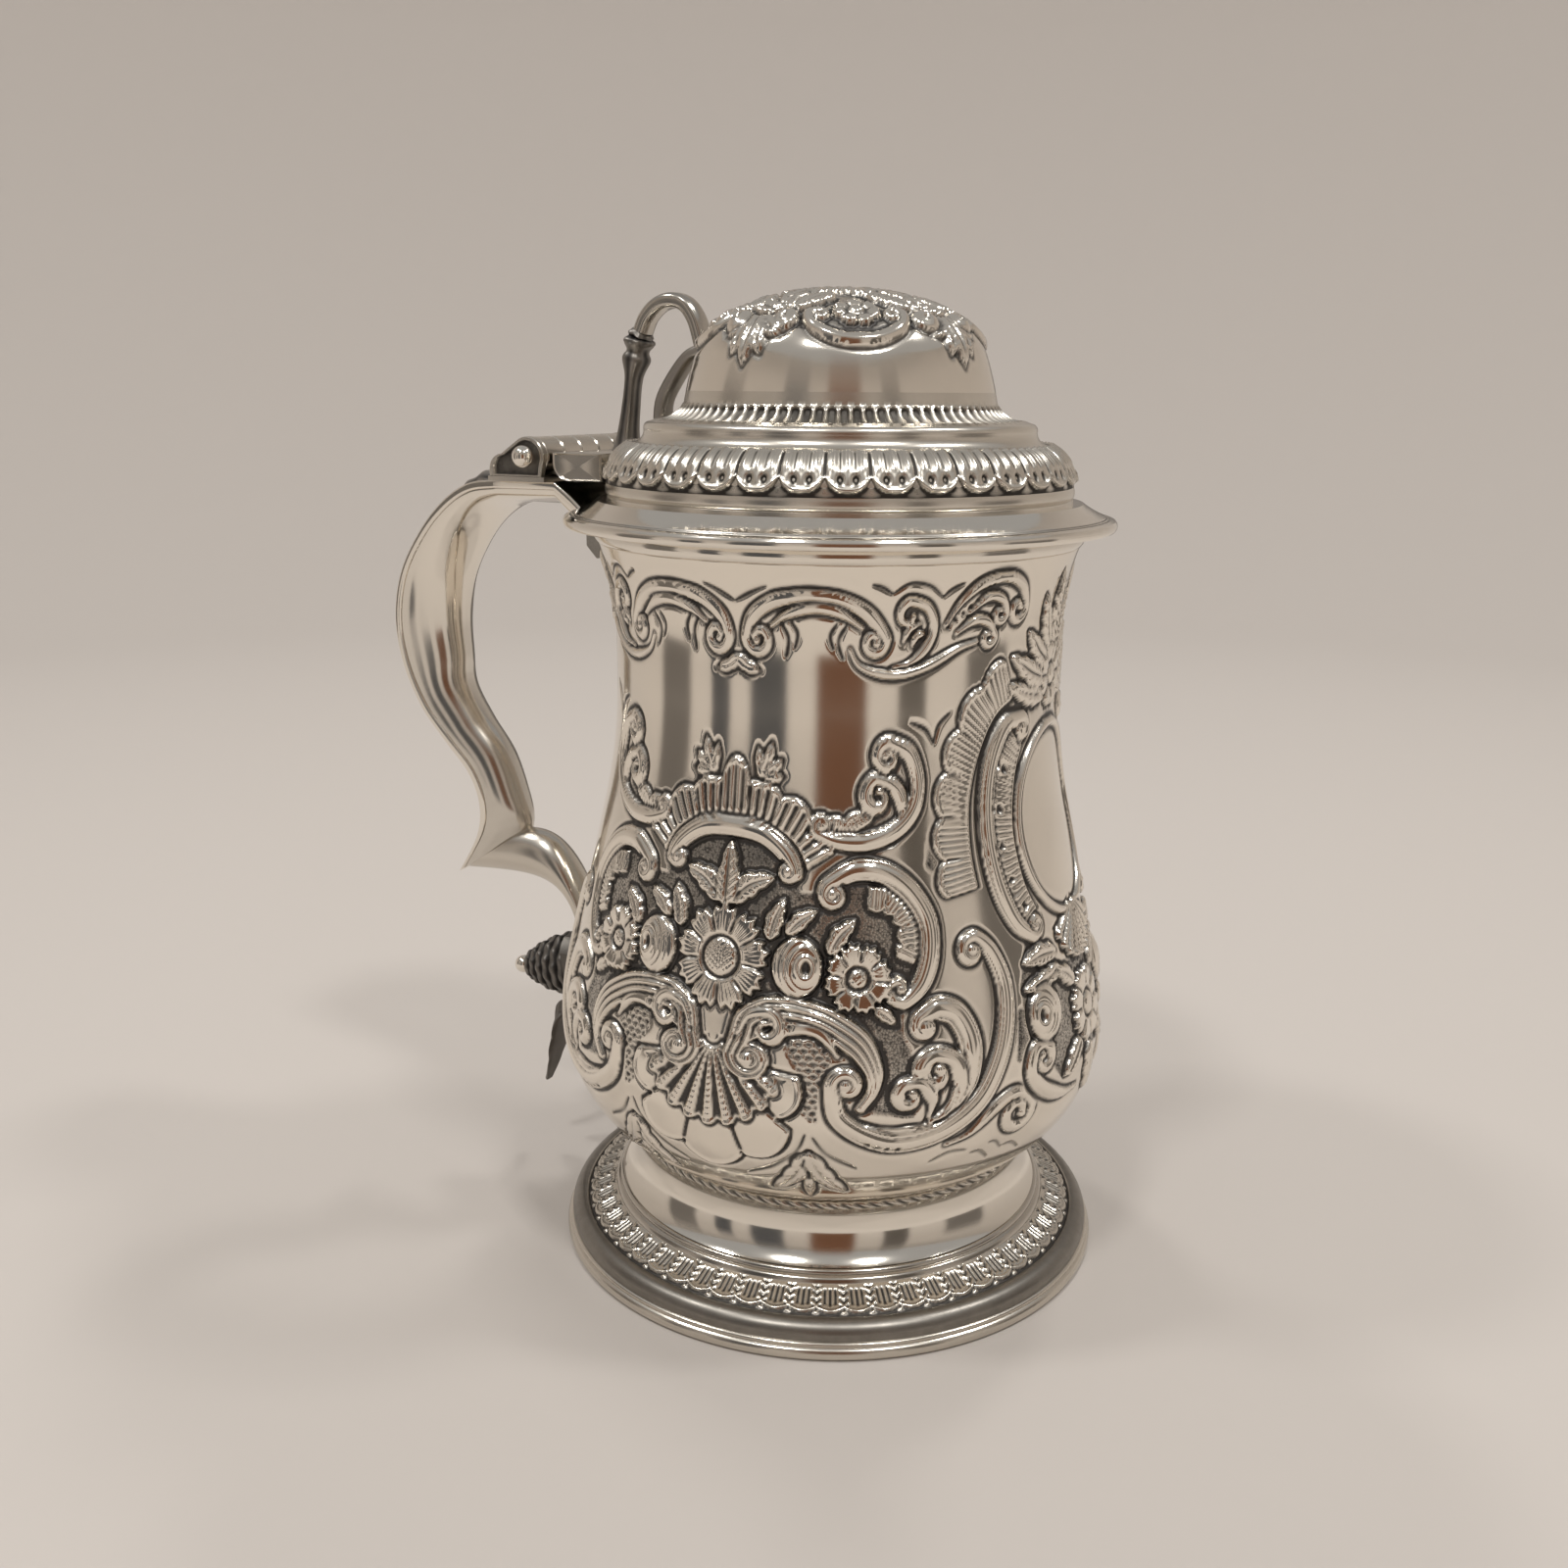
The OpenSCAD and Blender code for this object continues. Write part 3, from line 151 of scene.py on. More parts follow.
def skin(name, grid, body, stands_for, finish, around=False, across=False, tone=None, stipple=None,
         normals=None, sharp=35):
    """Mesh of a grid of points: face (i, j) joins points (i, j), (i+1, j), (i+1, j+1) and (i, j+1).
    around closes the first index and across the second; the open ends of a closed section get a cap.
    tone and stipple are the patina's values at the grid's points. The shading follows the normals where
    they are given, and otherwise breaks at edges over `sharp` degrees."""
    grid = np.asarray(grid, float)
    n, m = grid.shape[:2]
    number = np.arange(n * m).reshape(n, m)
    i = number if not around else np.concatenate([number, number[:1]])
    i = i if not across else np.concatenate([i, i[:, :1]], 1)
    quads = np.stack([i[:-1, :-1], i[1:, :-1], i[1:, 1:], i[:-1, 1:]], -1).reshape(-1, 4)
    ends = [number[0], number[-1, ::-1]] if across and not around else []
    co = grid.reshape(-1, 3)
    _, first, same = np.unique(np.round(co, 5), axis=0, return_index=True, return_inverse=True)
    same = same.reshape(-1)
    co, quads, ends = co[first], same[quads], [same[e] for e in ends]
    # A face with one pair of merged corners is a triangle, and one with more is left out
    flat = (quads == np.roll(quads, 1, 1)).sum(1)
    whole, three = quads[flat == 0], quads[flat == 1]
    drop = (three == np.roll(three, 1, 1)).argmax(1)
    keep = (drop[:, None] + np.array([1, 2, 3])) % 4
    tris = np.take_along_axis(three, keep, 1)
    fans = [np.stack([np.full(len(e) - 2, e[0]), e[1:-1], e[2:]], 1) for e in ends]
    fan = np.concatenate([whole[:, [0, 1, 2]], whole[:, [0, 2, 3]], tris] + fans)
    a, b, c = (co[fan[:, k]] - co.mean(0) for k in range(3))
    inside_out = np.einsum("ij,ij->", a, np.cross(b, c)) < 0
    turn = slice(None, None, -1 if inside_out else 1)
    loops = [whole[:, turn].reshape(-1), tris[:, turn].reshape(-1)] + [e[turn] for e in ends]
    counts = [np.full(len(whole), 4), np.full(len(tris), 3), [len(e) for e in ends]]
    sizes = np.concatenate(counts).astype(int)
    mesh = bpy.data.meshes.new(name)
    mesh.vertices.add(len(co))
    mesh.vertices.foreach_set("co", (co / 1000).astype(np.float32).reshape(-1))
    mesh.loops.add(int(sizes.sum()))
    mesh.polygons.add(len(sizes))
    mesh.polygons.foreach_set("loop_start", np.concatenate([[0], np.cumsum(sizes)[:-1]]).astype(np.int32))
    mesh.polygons.foreach_set("vertices", np.concatenate(loops).astype(np.int32))
    mesh.update(calc_edges=True)
    mesh.validate()
    mesh.shade_smooth()
    for title, values in (("tone", tone), ("stipple", stipple)):
        if values is not None:
            kept = mesh.attributes.new(title, "FLOAT", "POINT")
            kept.data.foreach_set("value", np.asarray(values, np.float32).reshape(-1)[first])
    if normals is not None:
        mesh.normals_split_custom_set_from_vertices(np.asarray(normals).reshape(-1, 3)[first])
    else:
        mesh.set_sharp_from_angle(angle=np.radians(sharp))
    mesh.materials.append(finish)
    piece = bpy.data.objects.new(name, mesh)
    bpy.context.scene.collection.objects.link(piece)
    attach(piece, body)
    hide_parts(*([stands_for] if isinstance(stands_for, str) else stands_for))
    made.append((name, int((sizes - 2).sum())))


def turned(r, z, t):
    """Points at radius r, height z and angle t round the upright axis."""
    return np.stack([r * np.cos(t), r * np.sin(t), z + 0 * t], -1)


def spun(profile, n):
    """Grid of a profile (radius, height) carried round the upright axis in n steps."""
    return turned(profile[None, :, 0], profile[None, :, 1], 2 * pi * np.arange(n)[:, None] / n)


def with_back(r, z, back):
    """Rows of a worked face (radius and height), each followed by the points of a plain back line."""
    plain_rows = np.repeat(back[None], len(r), 0)
    return np.concatenate([r, plain_rows[..., 0]], 1), np.concatenate([z, plain_rows[..., 1]], 1)


def blur(h, a, b, edge="reflect"):
    """Gaussian blur of a height field by a and b grid steps, worked out in the frequency plane."""
    p, q = int(3 * a) + 1, int(3 * b) + 1
    w = np.pad(h, ((p, p), (q, q)), mode=edge)
    down = a * np.fft.fftfreq(w.shape[0])[:, None]
    over = b * np.fft.rfftfreq(w.shape[1])[None]
    f = np.exp(-2 * pi**2 * (down**2 + over**2))
    return np.fft.irfft2(np.fft.rfft2(w) * f, s=w.shape)[p:-p, q:-q]


# %% [markdown]
# ## The silver
#
# Old silver is bright where hands and cloths rub it and dark where polish never reaches. One node
# group gives that: it reads the piece's own `tone` attribute, which is high in the recesses, and
# mixes it with a little cloudy wear. On a few pieces the tone, and the overall tone of the darker
# finishes, also paint shade and dark reflection. Each material places the group with its own
# values and keeps its own shader.

# %% The patina and painted shade group
def node(tree, kind, at=(0, 0), **values):
    """Adds a shader node and sets its sockets by name."""
    made_node = tree.nodes.new(kind)
    made_node.location = at
    for key, value in values.items():
        made_node.inputs[key.replace("_", " ")].default_value = value
    return made_node


def patina_and_shade_group():
    """Colour, roughness and height of silver with patina, wear and painted shade: dark where tone is high,
    punched where stipple is, cloudy and finely scratched elsewhere."""
    tree = bpy.data.node_groups.new("worn silver", "ShaderNodeTree")
    face = tree.interface
    for title, start in (("Bright", (0.86, 0.80, 0.71, 1)), ("Dark", (0.05, 0.045, 0.04, 1))):
        face.new_socket(title, in_out="INPUT", socket_type="NodeSocketColor").default_value = start
    for title, start in (("Overall Tone", 0.0), ("Polish", 0.1)):
        face.new_socket(title, in_out="INPUT", socket_type="NodeSocketFloat").default_value = start
    for title, kind in (("Color", "Color"), ("Roughness", "Float"), ("Height", "Float")):
        face.new_socket(title, in_out="OUTPUT", socket_type="NodeSocket" + kind)
    gi, go = tree.nodes.new("NodeGroupInput"), tree.nodes.new("NodeGroupOutput")
    link = tree.links.new
    place = tree.nodes.new("ShaderNodeTexCoord")
    tone = tree.nodes.new("ShaderNodeAttribute")
    tone.attribute_name = "tone"
    matted = tree.nodes.new("ShaderNodeAttribute")
    matted.attribute_name = "stipple"
    punched = node(tree, "ShaderNodeTexVoronoi", Scale=2300.0, Randomness=0.8)
    cloud = node(tree, "ShaderNodeTexNoise", Scale=55.0, Detail=5.0, Roughness=0.6)
    grit = node(tree, "ShaderNodeTexNoise", Scale=900.0, Detail=3.0, Roughness=0.6)
    rub = node(tree, "ShaderNodeTexNoise", Scale=260.0, Detail=4.0, Roughness=0.7)
    for n in (cloud, grit, rub, punched):
        link(place.outputs["Object"], n.inputs["Vector"])

    def maths(op, a, b, c=None):
        """One arithmetic node; numbers are set on its sockets and outputs are linked."""
        m = tree.nodes.new("ShaderNodeMath")
        m.operation = op
        for k, v in enumerate((a, b, c)):
            if v is not None:
                if isinstance(v, (int, float)):
                    m.inputs[k].default_value = v
                else:
                    link(v, m.inputs[k])
        return m.outputs[0]

    mottled = maths("MULTIPLY_ADD", rub.outputs["Fac"], 0.5, 0.75)
    dents = maths("MULTIPLY_ADD", punched.outputs["Distance"], 0.9, -0.04)
    pits = maths("MULTIPLY", matted.outputs["Fac"], dents)
    deep = maths("ADD", maths("MULTIPLY", tone.outputs["Fac"], mottled), pits)
    patches = maths("MULTIPLY_ADD", cloud.outputs["Fac"], 1.2, 0.4)
    film = maths("MULTIPLY", gi.outputs["Overall Tone"], patches)
    total = maths("MINIMUM", maths("ADD", deep, film), 1.0)
    mix = tree.nodes.new("ShaderNodeMix")
    mix.data_type = "RGBA"
    share_in, first_in, second_in, mixed_out = 0, 6, 7, 2
    link(total, mix.inputs[share_in])
    link(gi.outputs["Bright"], mix.inputs[first_in])
    link(gi.outputs["Dark"], mix.inputs[second_in])
    link(mix.outputs[mixed_out], go.inputs["Color"])
    rough = maths("MULTIPLY_ADD", total, 0.34, gi.outputs["Polish"])
    clouded = maths("MULTIPLY_ADD", cloud.outputs["Fac"], 0.06, maths("SUBTRACT", rough, 0.02))
    link(clouded, go.inputs["Roughness"])
    wear = maths("MULTIPLY", rub.outputs["Fac"], 0.1)
    coarse = maths("MULTIPLY_ADD", tone.outputs["Fac"], 0.9, 0.06)
    grain = maths("MULTIPLY_ADD", grit.outputs["Fac"], coarse, wear)
    link(maths("MULTIPLY_ADD", pits, -7.0, grain), go.inputs["Height"])
    return tree


worn_and_shaded = patina_and_shade_group()


def silver(title, slot, bright, dark, film, polish, relief):
    """A silver finish: the patina and shade group feeds a metallic Principled shader, with a fine bump.
    film is the tone all over the piece: patina, and painted shade on the darker copies of the silver;
    polish is the least roughness and relief the strength of the bump."""
    m = bpy.data.materials.new(title)
    m.use_nodes = True
    m["slot"] = slot
    tree = m.node_tree
    shader = tree.nodes["Principled BSDF"]
    shader.inputs["Metallic"].default_value = 1.0
    group = tree.nodes.new("ShaderNodeGroup")
    group.node_tree = worn_and_shaded
    group.location = (-500, 0)
    values = {"Bright": (*bright, 1), "Dark": (*dark, 1), "Overall Tone": film, "Polish": polish}
    for key, value in values.items():
        group.inputs[key].default_value = value
    bump = node(tree, "ShaderNodeBump", (-250, -250), Strength=relief, Distance=0.0004)
    tree.links.new(group.outputs["Color"], shader.inputs["Base Color"])
    tree.links.new(group.outputs["Roughness"], shader.inputs["Roughness"])
    tree.links.new(group.outputs["Height"], bump.inputs["Height"])
    tree.links.new(bump.outputs["Normal"], shader.inputs["Normal"])
    return m


bright_slot, toned_slot = "bright_silver", "toned_silver"
chased = silver("chased silver", bright_slot, (0.88, 0.82, 0.73), (0.085, 0.08, 0.076), 0.02, 0.1, 0.06)
polished = silver("polished silver", bright_slot, (0.87, 0.82, 0.74), (0.05, 0.045, 0.04), 0.02, 0.09,
                  0.015)
# The soft silver is rougher than the polished one, and its darker colour is painted shade on the cover's
# steps and tongue border.
soft = silver("soft silver", bright_slot, (0.76, 0.71, 0.63), (0.06, 0.055, 0.05), 0.06, 0.2, 0.03)
inner = silver("satin silver", bright_slot, (0.80, 0.76, 0.70), (0.08, 0.07, 0.06), 0.1, 0.26, 0.05)
toned = silver("toned silver", toned_slot, (0.76, 0.71, 0.63), (0.07, 0.065, 0.06), 0.14, 0.16, 0.05)
# The shaded silver is a darker copy that paints shade and dark reflection on the foot moulding and the
# thumb loop.
shaded = silver("shaded silver", toned_slot, (0.60, 0.56, 0.50), (0.06, 0.055, 0.05), 0.12, 0.13, 0.05)
# This darkened copy paints the shade over the lower handle pad, behind the terminal.
pad_shade_silver = silver("painted shade silver", toned_slot, (0.36, 0.335, 0.3), (0.045, 0.042, 0.04), 0.6, 0.24, 0.06)
# The dusky silver is partly patina on the small cast parts and partly painted shade and dark reflection on
# them.
dusky = silver("dusky silver", toned_slot, (0.55, 0.51, 0.46), (0.045, 0.042, 0.04), 0.34, 0.2, 0.06)
print("finishes:", [m.name for m in (chased, polished, soft, inner, toned, shaded, dusky, pad_shade_silver)])

# %% [markdown]
# ## Chasing as a height field
#
# A chaser works on the flat in strokes: a scroll, a leaf, a petal, a shell rib. Here each of them
# is a function that lays one motif on a flat sheet of millimetres. Every motif says two things for
# the points near it: how far outside its edge a point lies, and how high it stands there. Laying it
# replaces what is under it and cuts a small moat along its edge, as the chasing tool does, and the
# dark of the patina later settles in those moats.

# %% A sheet to chase
class Sheet:
    """Height field over points (x, y) of a flat sheet, with a mask of matted ground."""

    def __init__(self, x, y):
        self.x, self.y = np.broadcast_arrays(x, y)
        self.h = np.zeros(self.x.shape)
        self.ground = np.zeros(self.x.shape)

    def near(self, p, margin):
        """Indices of the points within margin of the box round the points p, with their places."""
        lo, hi = p.min(0) - margin, p.max(0) + margin
        i = np.nonzero((self.x > lo[0]) & (self.x < hi[0]) & (self.y > lo[1]) & (self.y < hi[1]))
        return i, np.stack([self.x[i], self.y[i]], 1)

    def lay(self, i, edge, height, moat):
        """Puts a motif over the sheet: edge is the distance outside it, height its own relief."""
        cover = step(0.22, -0.22, edge)
        cut = moat * np.exp(-(((edge - 0.4) / 0.4) ** 2))
        self.h[i] = self.h[i] * (1 - cover) + height * cover - cut
        self.ground[i] *= 1 - cover


def nearest(p, run):
    """For points p: share of the way along the run, distance to it, and signed offset to its left."""
    a, d = run[:-1], np.diff(run, axis=0)
    w = p[:, None] - a[None]
    t = np.clip((w * d).sum(2) / (d * d).sum(1), 0, 1)
    off = w - t[..., None] * d
    far = (off**2).sum(2)
    k = far.argmin(1)
    row = np.arange(len(p))
    s = lengths(run)
    side = np.sign(d[k, 0] * off[row, k, 1] - d[k, 1] * off[row, k, 0])
    q = np.sqrt(far[row, k])
    return (s[k] + t[row, k] * (s[k + 1] - s[k])) / s[-1], q, q * side


def volute(end, start):
    """Spiral from start in towards the centre of end (centre, way, turns): its radius shrinks to a third
    over most of the turns, which leaves room for the eye."""
    centre, way, turns = end
    turns, last = 0.82 * turns, 0.34
    v = np.array(start, float) - centre
    k = np.linspace(0, 1, int(10 * turns) + 1)[1:, None]
    t = np.arctan2(v[1], v[0]) + way * 2 * pi * turns * k
    r = np.hypot(*v) * (1 - (1 - last) * k)
    return np.array(centre) + r * np.concatenate([np.cos(t), np.sin(t)], 1)


# %% Scrolls and strokes
def ridged(u, ridges):
    """Height across a band for u from -1 to 1: a round back, a back between two thin rims, or flutes."""
    if ridges == 1:
        return np.sqrt(np.clip(1 - 0.8 * u**2, 0.05, 1))
    if ridges <= 3:
        back = np.sqrt(np.clip(1 - 0.9 * (u / 0.66) ** 2, 0.0, 1))
        rims = 0.74 * np.exp(-(((np.abs(u) - 0.84) / 0.13) ** 2))
        return 0.18 + 0.82 * np.maximum(back, rims)
    fall = np.sqrt(np.clip(1 - 0.6 * u**2, 0.05, 1))
    return fall * (0.70 + 0.30 * np.cos(pi * (u + 1) * ridges - pi))


def scroll(sheet, points, half, high, ridges, head=None, tail=None, thin=(0.45, 0.45), lean=0):
    """Band along a curve; head and tail are volutes (centre, way, turns) at its first and last point.
    The band thins towards its ends by the shares in thin, and lies on the curve's left with lean 1
    and on its right with -1."""
    run = np.array(points, float)
    if head:
        run = np.concatenate([volute(head, run[0])[::-1], run])
    if tail:
        run = np.concatenate([run, volute(tail, run[-1])])
    run = curve(run, 6)
    share = lengths(run) / lengths(run)[-1]
    swell = thin[0] + (1 - thin[0]) * step(0, 0.3, share)
    swell = swell * (thin[1] + (1 - thin[1]) * step(1, 0.7, share))
    if lean:
        run = run + left_of(run) * (lean * half * swell)[:, None]
    i, p = sheet.near(run, half + 1.6)
    t, q, side = nearest(p, run)
    wide = half * np.interp(t, share, swell)
    u = np.clip(side / wide, -1.2, 1.2)
    sheet.lay(i, q - wide, high * ridged(u, ridges) * (0.55 + 0.45 * wide / half), 0.25)
    for end, way in ((0, head), (-1, tail)):
        if way:
            knob(sheet, run[end], 0.95 * half * swell[end], 0.9 * high)


def knob(sheet, centre, r, high):
    """Small dome in the eye of a volute."""
    c = np.array(centre, float)
    i, p = sheet.near(c[None], r + 1.0)
    rho = np.hypot(*(p - c).T)
    sheet.lay(i, rho - r, high * np.sqrt(np.clip(1.2 - (rho / r) ** 2, 0.1, 2)), 0.06)


def incise(sheet, points, half, deep=0.35):
    """Engraved line that swells in its middle: a groove along a curve."""
    run = curve(points, 6)
    i, p = sheet.near(run, half + 0.8)
    t, q, _ = nearest(p, run)
    wide = half * (0.25 + 0.75 * np.sin(pi * np.clip(t, 0, 1)) ** 0.7)
    sheet.h[i] -= deep * np.exp(-((q / wide) ** 2))


def dots(sheet, points, r, high):
    """Small domes, or pits where high is negative."""
    for c in np.array(points, float):
        i, p = sheet.near(c[None], 2 * r)
        sheet.h[i] += high * np.exp(-(((p - c) ** 2).sum(1) / r**2) ** 1.5)


# %% Leaves and flowers
def leaf(sheet, base, tip, bend, half, high=0.8, lobes=3, moat=0.25, dot=0.5):
    """Broad leaf on a bowed midrib: the half width swells and ends in a point, both halves are rounded,
    fine veins run forwards from the midrib, and the tip ends in a punched dot."""
    base, tip = np.array(base, float), np.array(tip, float)
    side = np.array([-(tip - base)[1], (tip - base)[0]]) / np.hypot(*(tip - base))
    run = curve([base, (base + tip) / 2 + bend * side, tip], 10)
    i, p = sheet.near(run, half + 1.2)
    t, q, _ = nearest(p, run)
    wave = np.abs(np.sin(pi * lobes * t)) ** 0.7
    wide = half * np.sin(pi * np.clip(t, 0, 1) ** 0.8) ** 0.7 * (0.80 + 0.26 * wave) + 0.05
    u = np.clip(q / wide, 0, 1.3)
    back = 0.58 + 0.42 * np.sin(pi * np.clip(0.18 + 0.72 * u, 0, 1))
    rib = 0.34 * np.exp(-((q / 0.24) ** 2)) * step(1.0, 0.8, t)
    vein = 0.15 * np.cos(2 * pi * (8 * t - 1.6 * u)) * step(0.15, 0.4, u)
    sheet.lay(i, (q - wide) * 0.9, high * (back + vein - rib), moat)
    dots(sheet, [base + 0.93 * (tip - base)], 0.45, -dot)


def flower(sheet, centre, r, petals, turn, eye, high=1.0, cup=0.35):
    """Open flower: broad petals with toothed rims, parted by narrow clefts and lined from the middle,
    round a granulated eye in a deep ring."""
    teeth = 3
    c = np.array(centre, float)
    i, p = sheet.near(c[None], r * 1.25 + 1)
    d = p - c
    rho, th = np.hypot(d[:, 0], d[:, 1]), np.arctan2(d[:, 1], d[:, 0])
    phase = petals * th / (2 * pi) + turn
    v = np.abs(2 * (phase % 1) - 1)
    lean = 2 * (phase % 1) - 1
    tooth = 2 * np.abs((teeth * phase + 0.5) % 1 - 0.5)
    rim = r * (1.0 - 0.13 * v**2 + 0.13 * (tooth - 0.5))
    cleft = (1 - v) * rho * pi / petals
    out = np.clip((rho / r - eye) / (1 - eye), 0, 1)
    height = high * (0.42 + cup * np.sin(pi * (0.1 + 0.62 * out)) + 0.28 * lean * out)
    height -= 0.6 * high * np.exp(-((cleft / 0.26) ** 2)) * step(0.42 * r, 0.6 * r, rho)
    height -= 0.18 * (0.5 - 0.5 * np.cos(2 * pi * 2 * teeth * phase)) * step(0.95, 0.4, out)
    sheet.lay(i, rho - rim, height, 0.3)
    eye_r = eye * r
    grain = 0.14 * np.cos(d[:, 0] * 5.2) * np.cos(d[:, 1] * 5.2 + d[:, 0])
    dome = high * (0.30 + 0.50 * np.sqrt(np.clip(1.1 - (rho / eye_r) ** 2, 0.02, 2)))
    sheet.lay(i, rho - eye_r, dome + grain, 0.0)
    sheet.h[i] -= 0.55 * high * np.exp(-(((rho - 1.12 * eye_r) / 0.42) ** 2))


def bud(sheet, centre, r, lean, high=1.5):
    """Rosebud: a smooth dome with a dark oval eye off its middle and a few petal edges wrapped round it."""
    c = np.array(centre, float)
    i, p = sheet.near(c[None], r + 1.4)
    d = p - c
    rho = np.hypot(d[:, 0] / 0.94, d[:, 1] / 1.06) / r
    e = d - np.array(lean) * 1.5 * r
    ro, th = np.hypot(e[:, 0] / 0.8, e[:, 1]) / r, np.arctan2(e[:, 1], e[:, 0])
    dome = high * np.sqrt(np.clip(1.06 - rho**2, 0.03, 2))
    petal_edges = ((0.5, 2.4, 0.3), (0.62, -1.9, 0.26), (0.85, 3.0, 0.3), (1.1, -2.6, 0.26),
                   (1.3, 2.7, 0.2))
    edges = 0
    for far, way, deep in petal_edges:
        facing_way = np.cos(th - way)
        line_cut = np.exp(-(((ro - far - 0.05 * facing_way) / 0.045) ** 2))
        edges = edges + deep * line_cut * step(-0.3, 0.5, facing_way)
    pit = np.exp(-((np.hypot(e[:, 0] / 0.62, e[:, 1]) / (0.26 * r)) ** 4))
    lip = 0.16 * np.exp(-(((ro - 0.40) / 0.07) ** 2))
    sheet.lay(i, (rho - 1) * r, dome - edges - pit + lip, 0.4)


def shell(sheet, hinge, r, way, fan, ribs, high, scallop, core=0.12, hollow=True, moat=0.25):
    """Fan of ribs from a hinge point: way is its direction and fan its half angle in degrees.
    The rim is scalloped, and the ribs are parted by hollows that deepen outwards."""
    c = np.array(hinge, float)
    i, p = sheet.near(c[None], r * 1.1 + 1)
    d = p - c
    rho = np.hypot(d[:, 0], d[:, 1])
    th = (np.degrees(np.arctan2(d[:, 1], d[:, 0])) - way + 180) % 360 - 180
    f = th / fan
    beat = np.cos(pi * ribs * f)
    rim = r * (1 - 0.10 * f**2 + scallop * np.abs(np.cos(pi * ribs * f / 2)) - scallop)
    edge = np.maximum(np.maximum(rho - rim, (np.abs(f) - 1) * np.radians(fan) * rho), core * r - rho)
    swell = high * (0.55 + 0.45 * np.sqrt(np.clip(1 - f**2, 0, 1))) * (0.6 + 0.4 * np.clip(rho / r, 0, 1))
    ribbed = (0.62 + 0.38 * np.clip(beat * 1.6, -1, 1)) if hollow else (0.8 + 0.2 * beat)
    bead = 0.14 * np.cos(2 * pi * rho / 1.15) * step(0.3, 0.8, beat) if hollow else 0.0
    lip = 0.3 * np.exp(-(((rho - rim + 0.5) / 0.45) ** 2))
    sheet.lay(i, edge, swell * ribbed + bead + lip, moat)


def feathers(sheet, points, wide, ribs, lobes, high, side, peak=0.0, groove=0.36):
    """Ribbed ruffle on a curve's left (side 1) or right (-1): lobed rim, ribs, notches between the lobes.
    peak is the share by which the middle lobe stands out over the others, groove the depth between ribs."""
    run = curve(points, 8)
    i, p = sheet.near(run, wide * (1 + peak) + 1.5)
    t, _, off = nearest(p, run)
    wide = wide * (1 + peak * np.exp(-(((t - 0.5) / 0.075) ** 4)))
    v = side * off / wide
    beat = np.abs(np.sin(pi * lobes * t))
    rim = 0.74 + 0.26 * beat**0.6
    past_end = (np.abs(t - 0.5) - 0.485) * 100
    edge = np.maximum(np.maximum((v - rim) * wide, -v * wide), past_end)
    comb = 0.5 + 0.5 * np.cos(2 * pi * ribs * t + 0.8 * v)
    rounded = high * (0.62 + 0.2 * np.sin(pi * np.clip(v / rim, 0, 1)))
    grooves = groove * (1 - comb) ** 1.5 * step(0.02, 0.15, v) * step(1, 0.82, v / rim)
    lip = 0.22 * np.exp(-(((v - rim) * wide + 0.55) / 0.4) ** 2)
    notches = 0.4 * np.exp(-((beat / 0.12) ** 2)) * step(0.25, 0.6, v)
    sheet.lay(i, edge, rounded - grooves + (lip - notches), 0.22)


def inside(p, corners):
    """Whether points lie in a polygon: an odd number of its sides cross a ray to the right."""
    a = np.array(corners, float)
    b = np.roll(a, -1, 0)
    x, y = p[..., 0, None], p[..., 1, None]
    crosses = (a[:, 1] > y) != (b[:, 1] > y)
    run, climb = b[:, 0] - a[:, 0], np.where(b[:, 1] == a[:, 1], 1e-9, b[:, 1] - a[:, 1])
    meets = a[:, 0] + (y - a[:, 1]) * run / climb
    return (crosses & (x < meets)).sum(-1) % 2 == 1


def matting(sheet, corners):
    """Marks a patch of ground that is matted with a fine punch."""
    c = np.array(corners, float)
    i, p = sheet.near(c, 0.1)
    sheet.ground[i] = np.maximum(sheet.ground[i], inside(p, c))


def scales(sheet, corners):
    """Overlapping scales in rows: each one slopes up to a rounded edge over the next."""
    pitch, deep = 1.9, 0.4
    c = np.array(corners, float)
    i, p = sheet.near(c, 0.1)
    hit = inside(p, c)
    row = p[:, 1] / (pitch * 0.62)
    x = p[:, 0] / pitch + 0.5 * (np.floor(row) % 2)
    u = 2 * np.abs(x % 1 - 0.5)
    fall = (row + 0.45 * (u**2)) % 1
    k = tuple(a[hit] for a in i)
    sheet.h[k] += deep * (fall[hit] - 0.7)
    sheet.ground[k] = 0.35


# %% [markdown]
# ## The body
#
# The body was raised from a disc of sheet: a low belly, a long slope up to a waist and a small flare
# at the mouth. Its outline is four arcs and a straight. The sheet for the chasing lies on it like a
# label: x follows the girth and y the distance along the outline, so a circle drawn there stays
# nearly round. The panel on each flank is its own mirror image about the flank's middle, and the two
# flanks mirror each other, so a quarter of the girth is drawn twice: once with the cartouche for the
# front, and once without it for the handle's side.

# %% Outline of the body
belly_r, neck_r, waist_r, mouth_r = 57.2, 42.0, 45.0, 48.4
foot_h, belly_z, waist_z, flare_z, mouth_z = 25.2, 49.0, 123.0, 131.0, 150.3
belly_c, waist_c = 60.0, 117.1
lower_c = ((belly_r - neck_r) ** 2 + (belly_z - foot_h) ** 2) / (2 * (belly_r - neck_r))
flare_c = ((mouth_r - waist_r) ** 2 + (mouth_z - flare_z) ** 2) / (2 * (mouth_r - waist_r))
reach = np.array([waist_c + belly_c - belly_r + waist_r, waist_z - belly_z])
slope = np.degrees(np.arctan2(reach[1], reach[0]) - np.arccos((belly_c + waist_c) / np.hypot(*reach)))


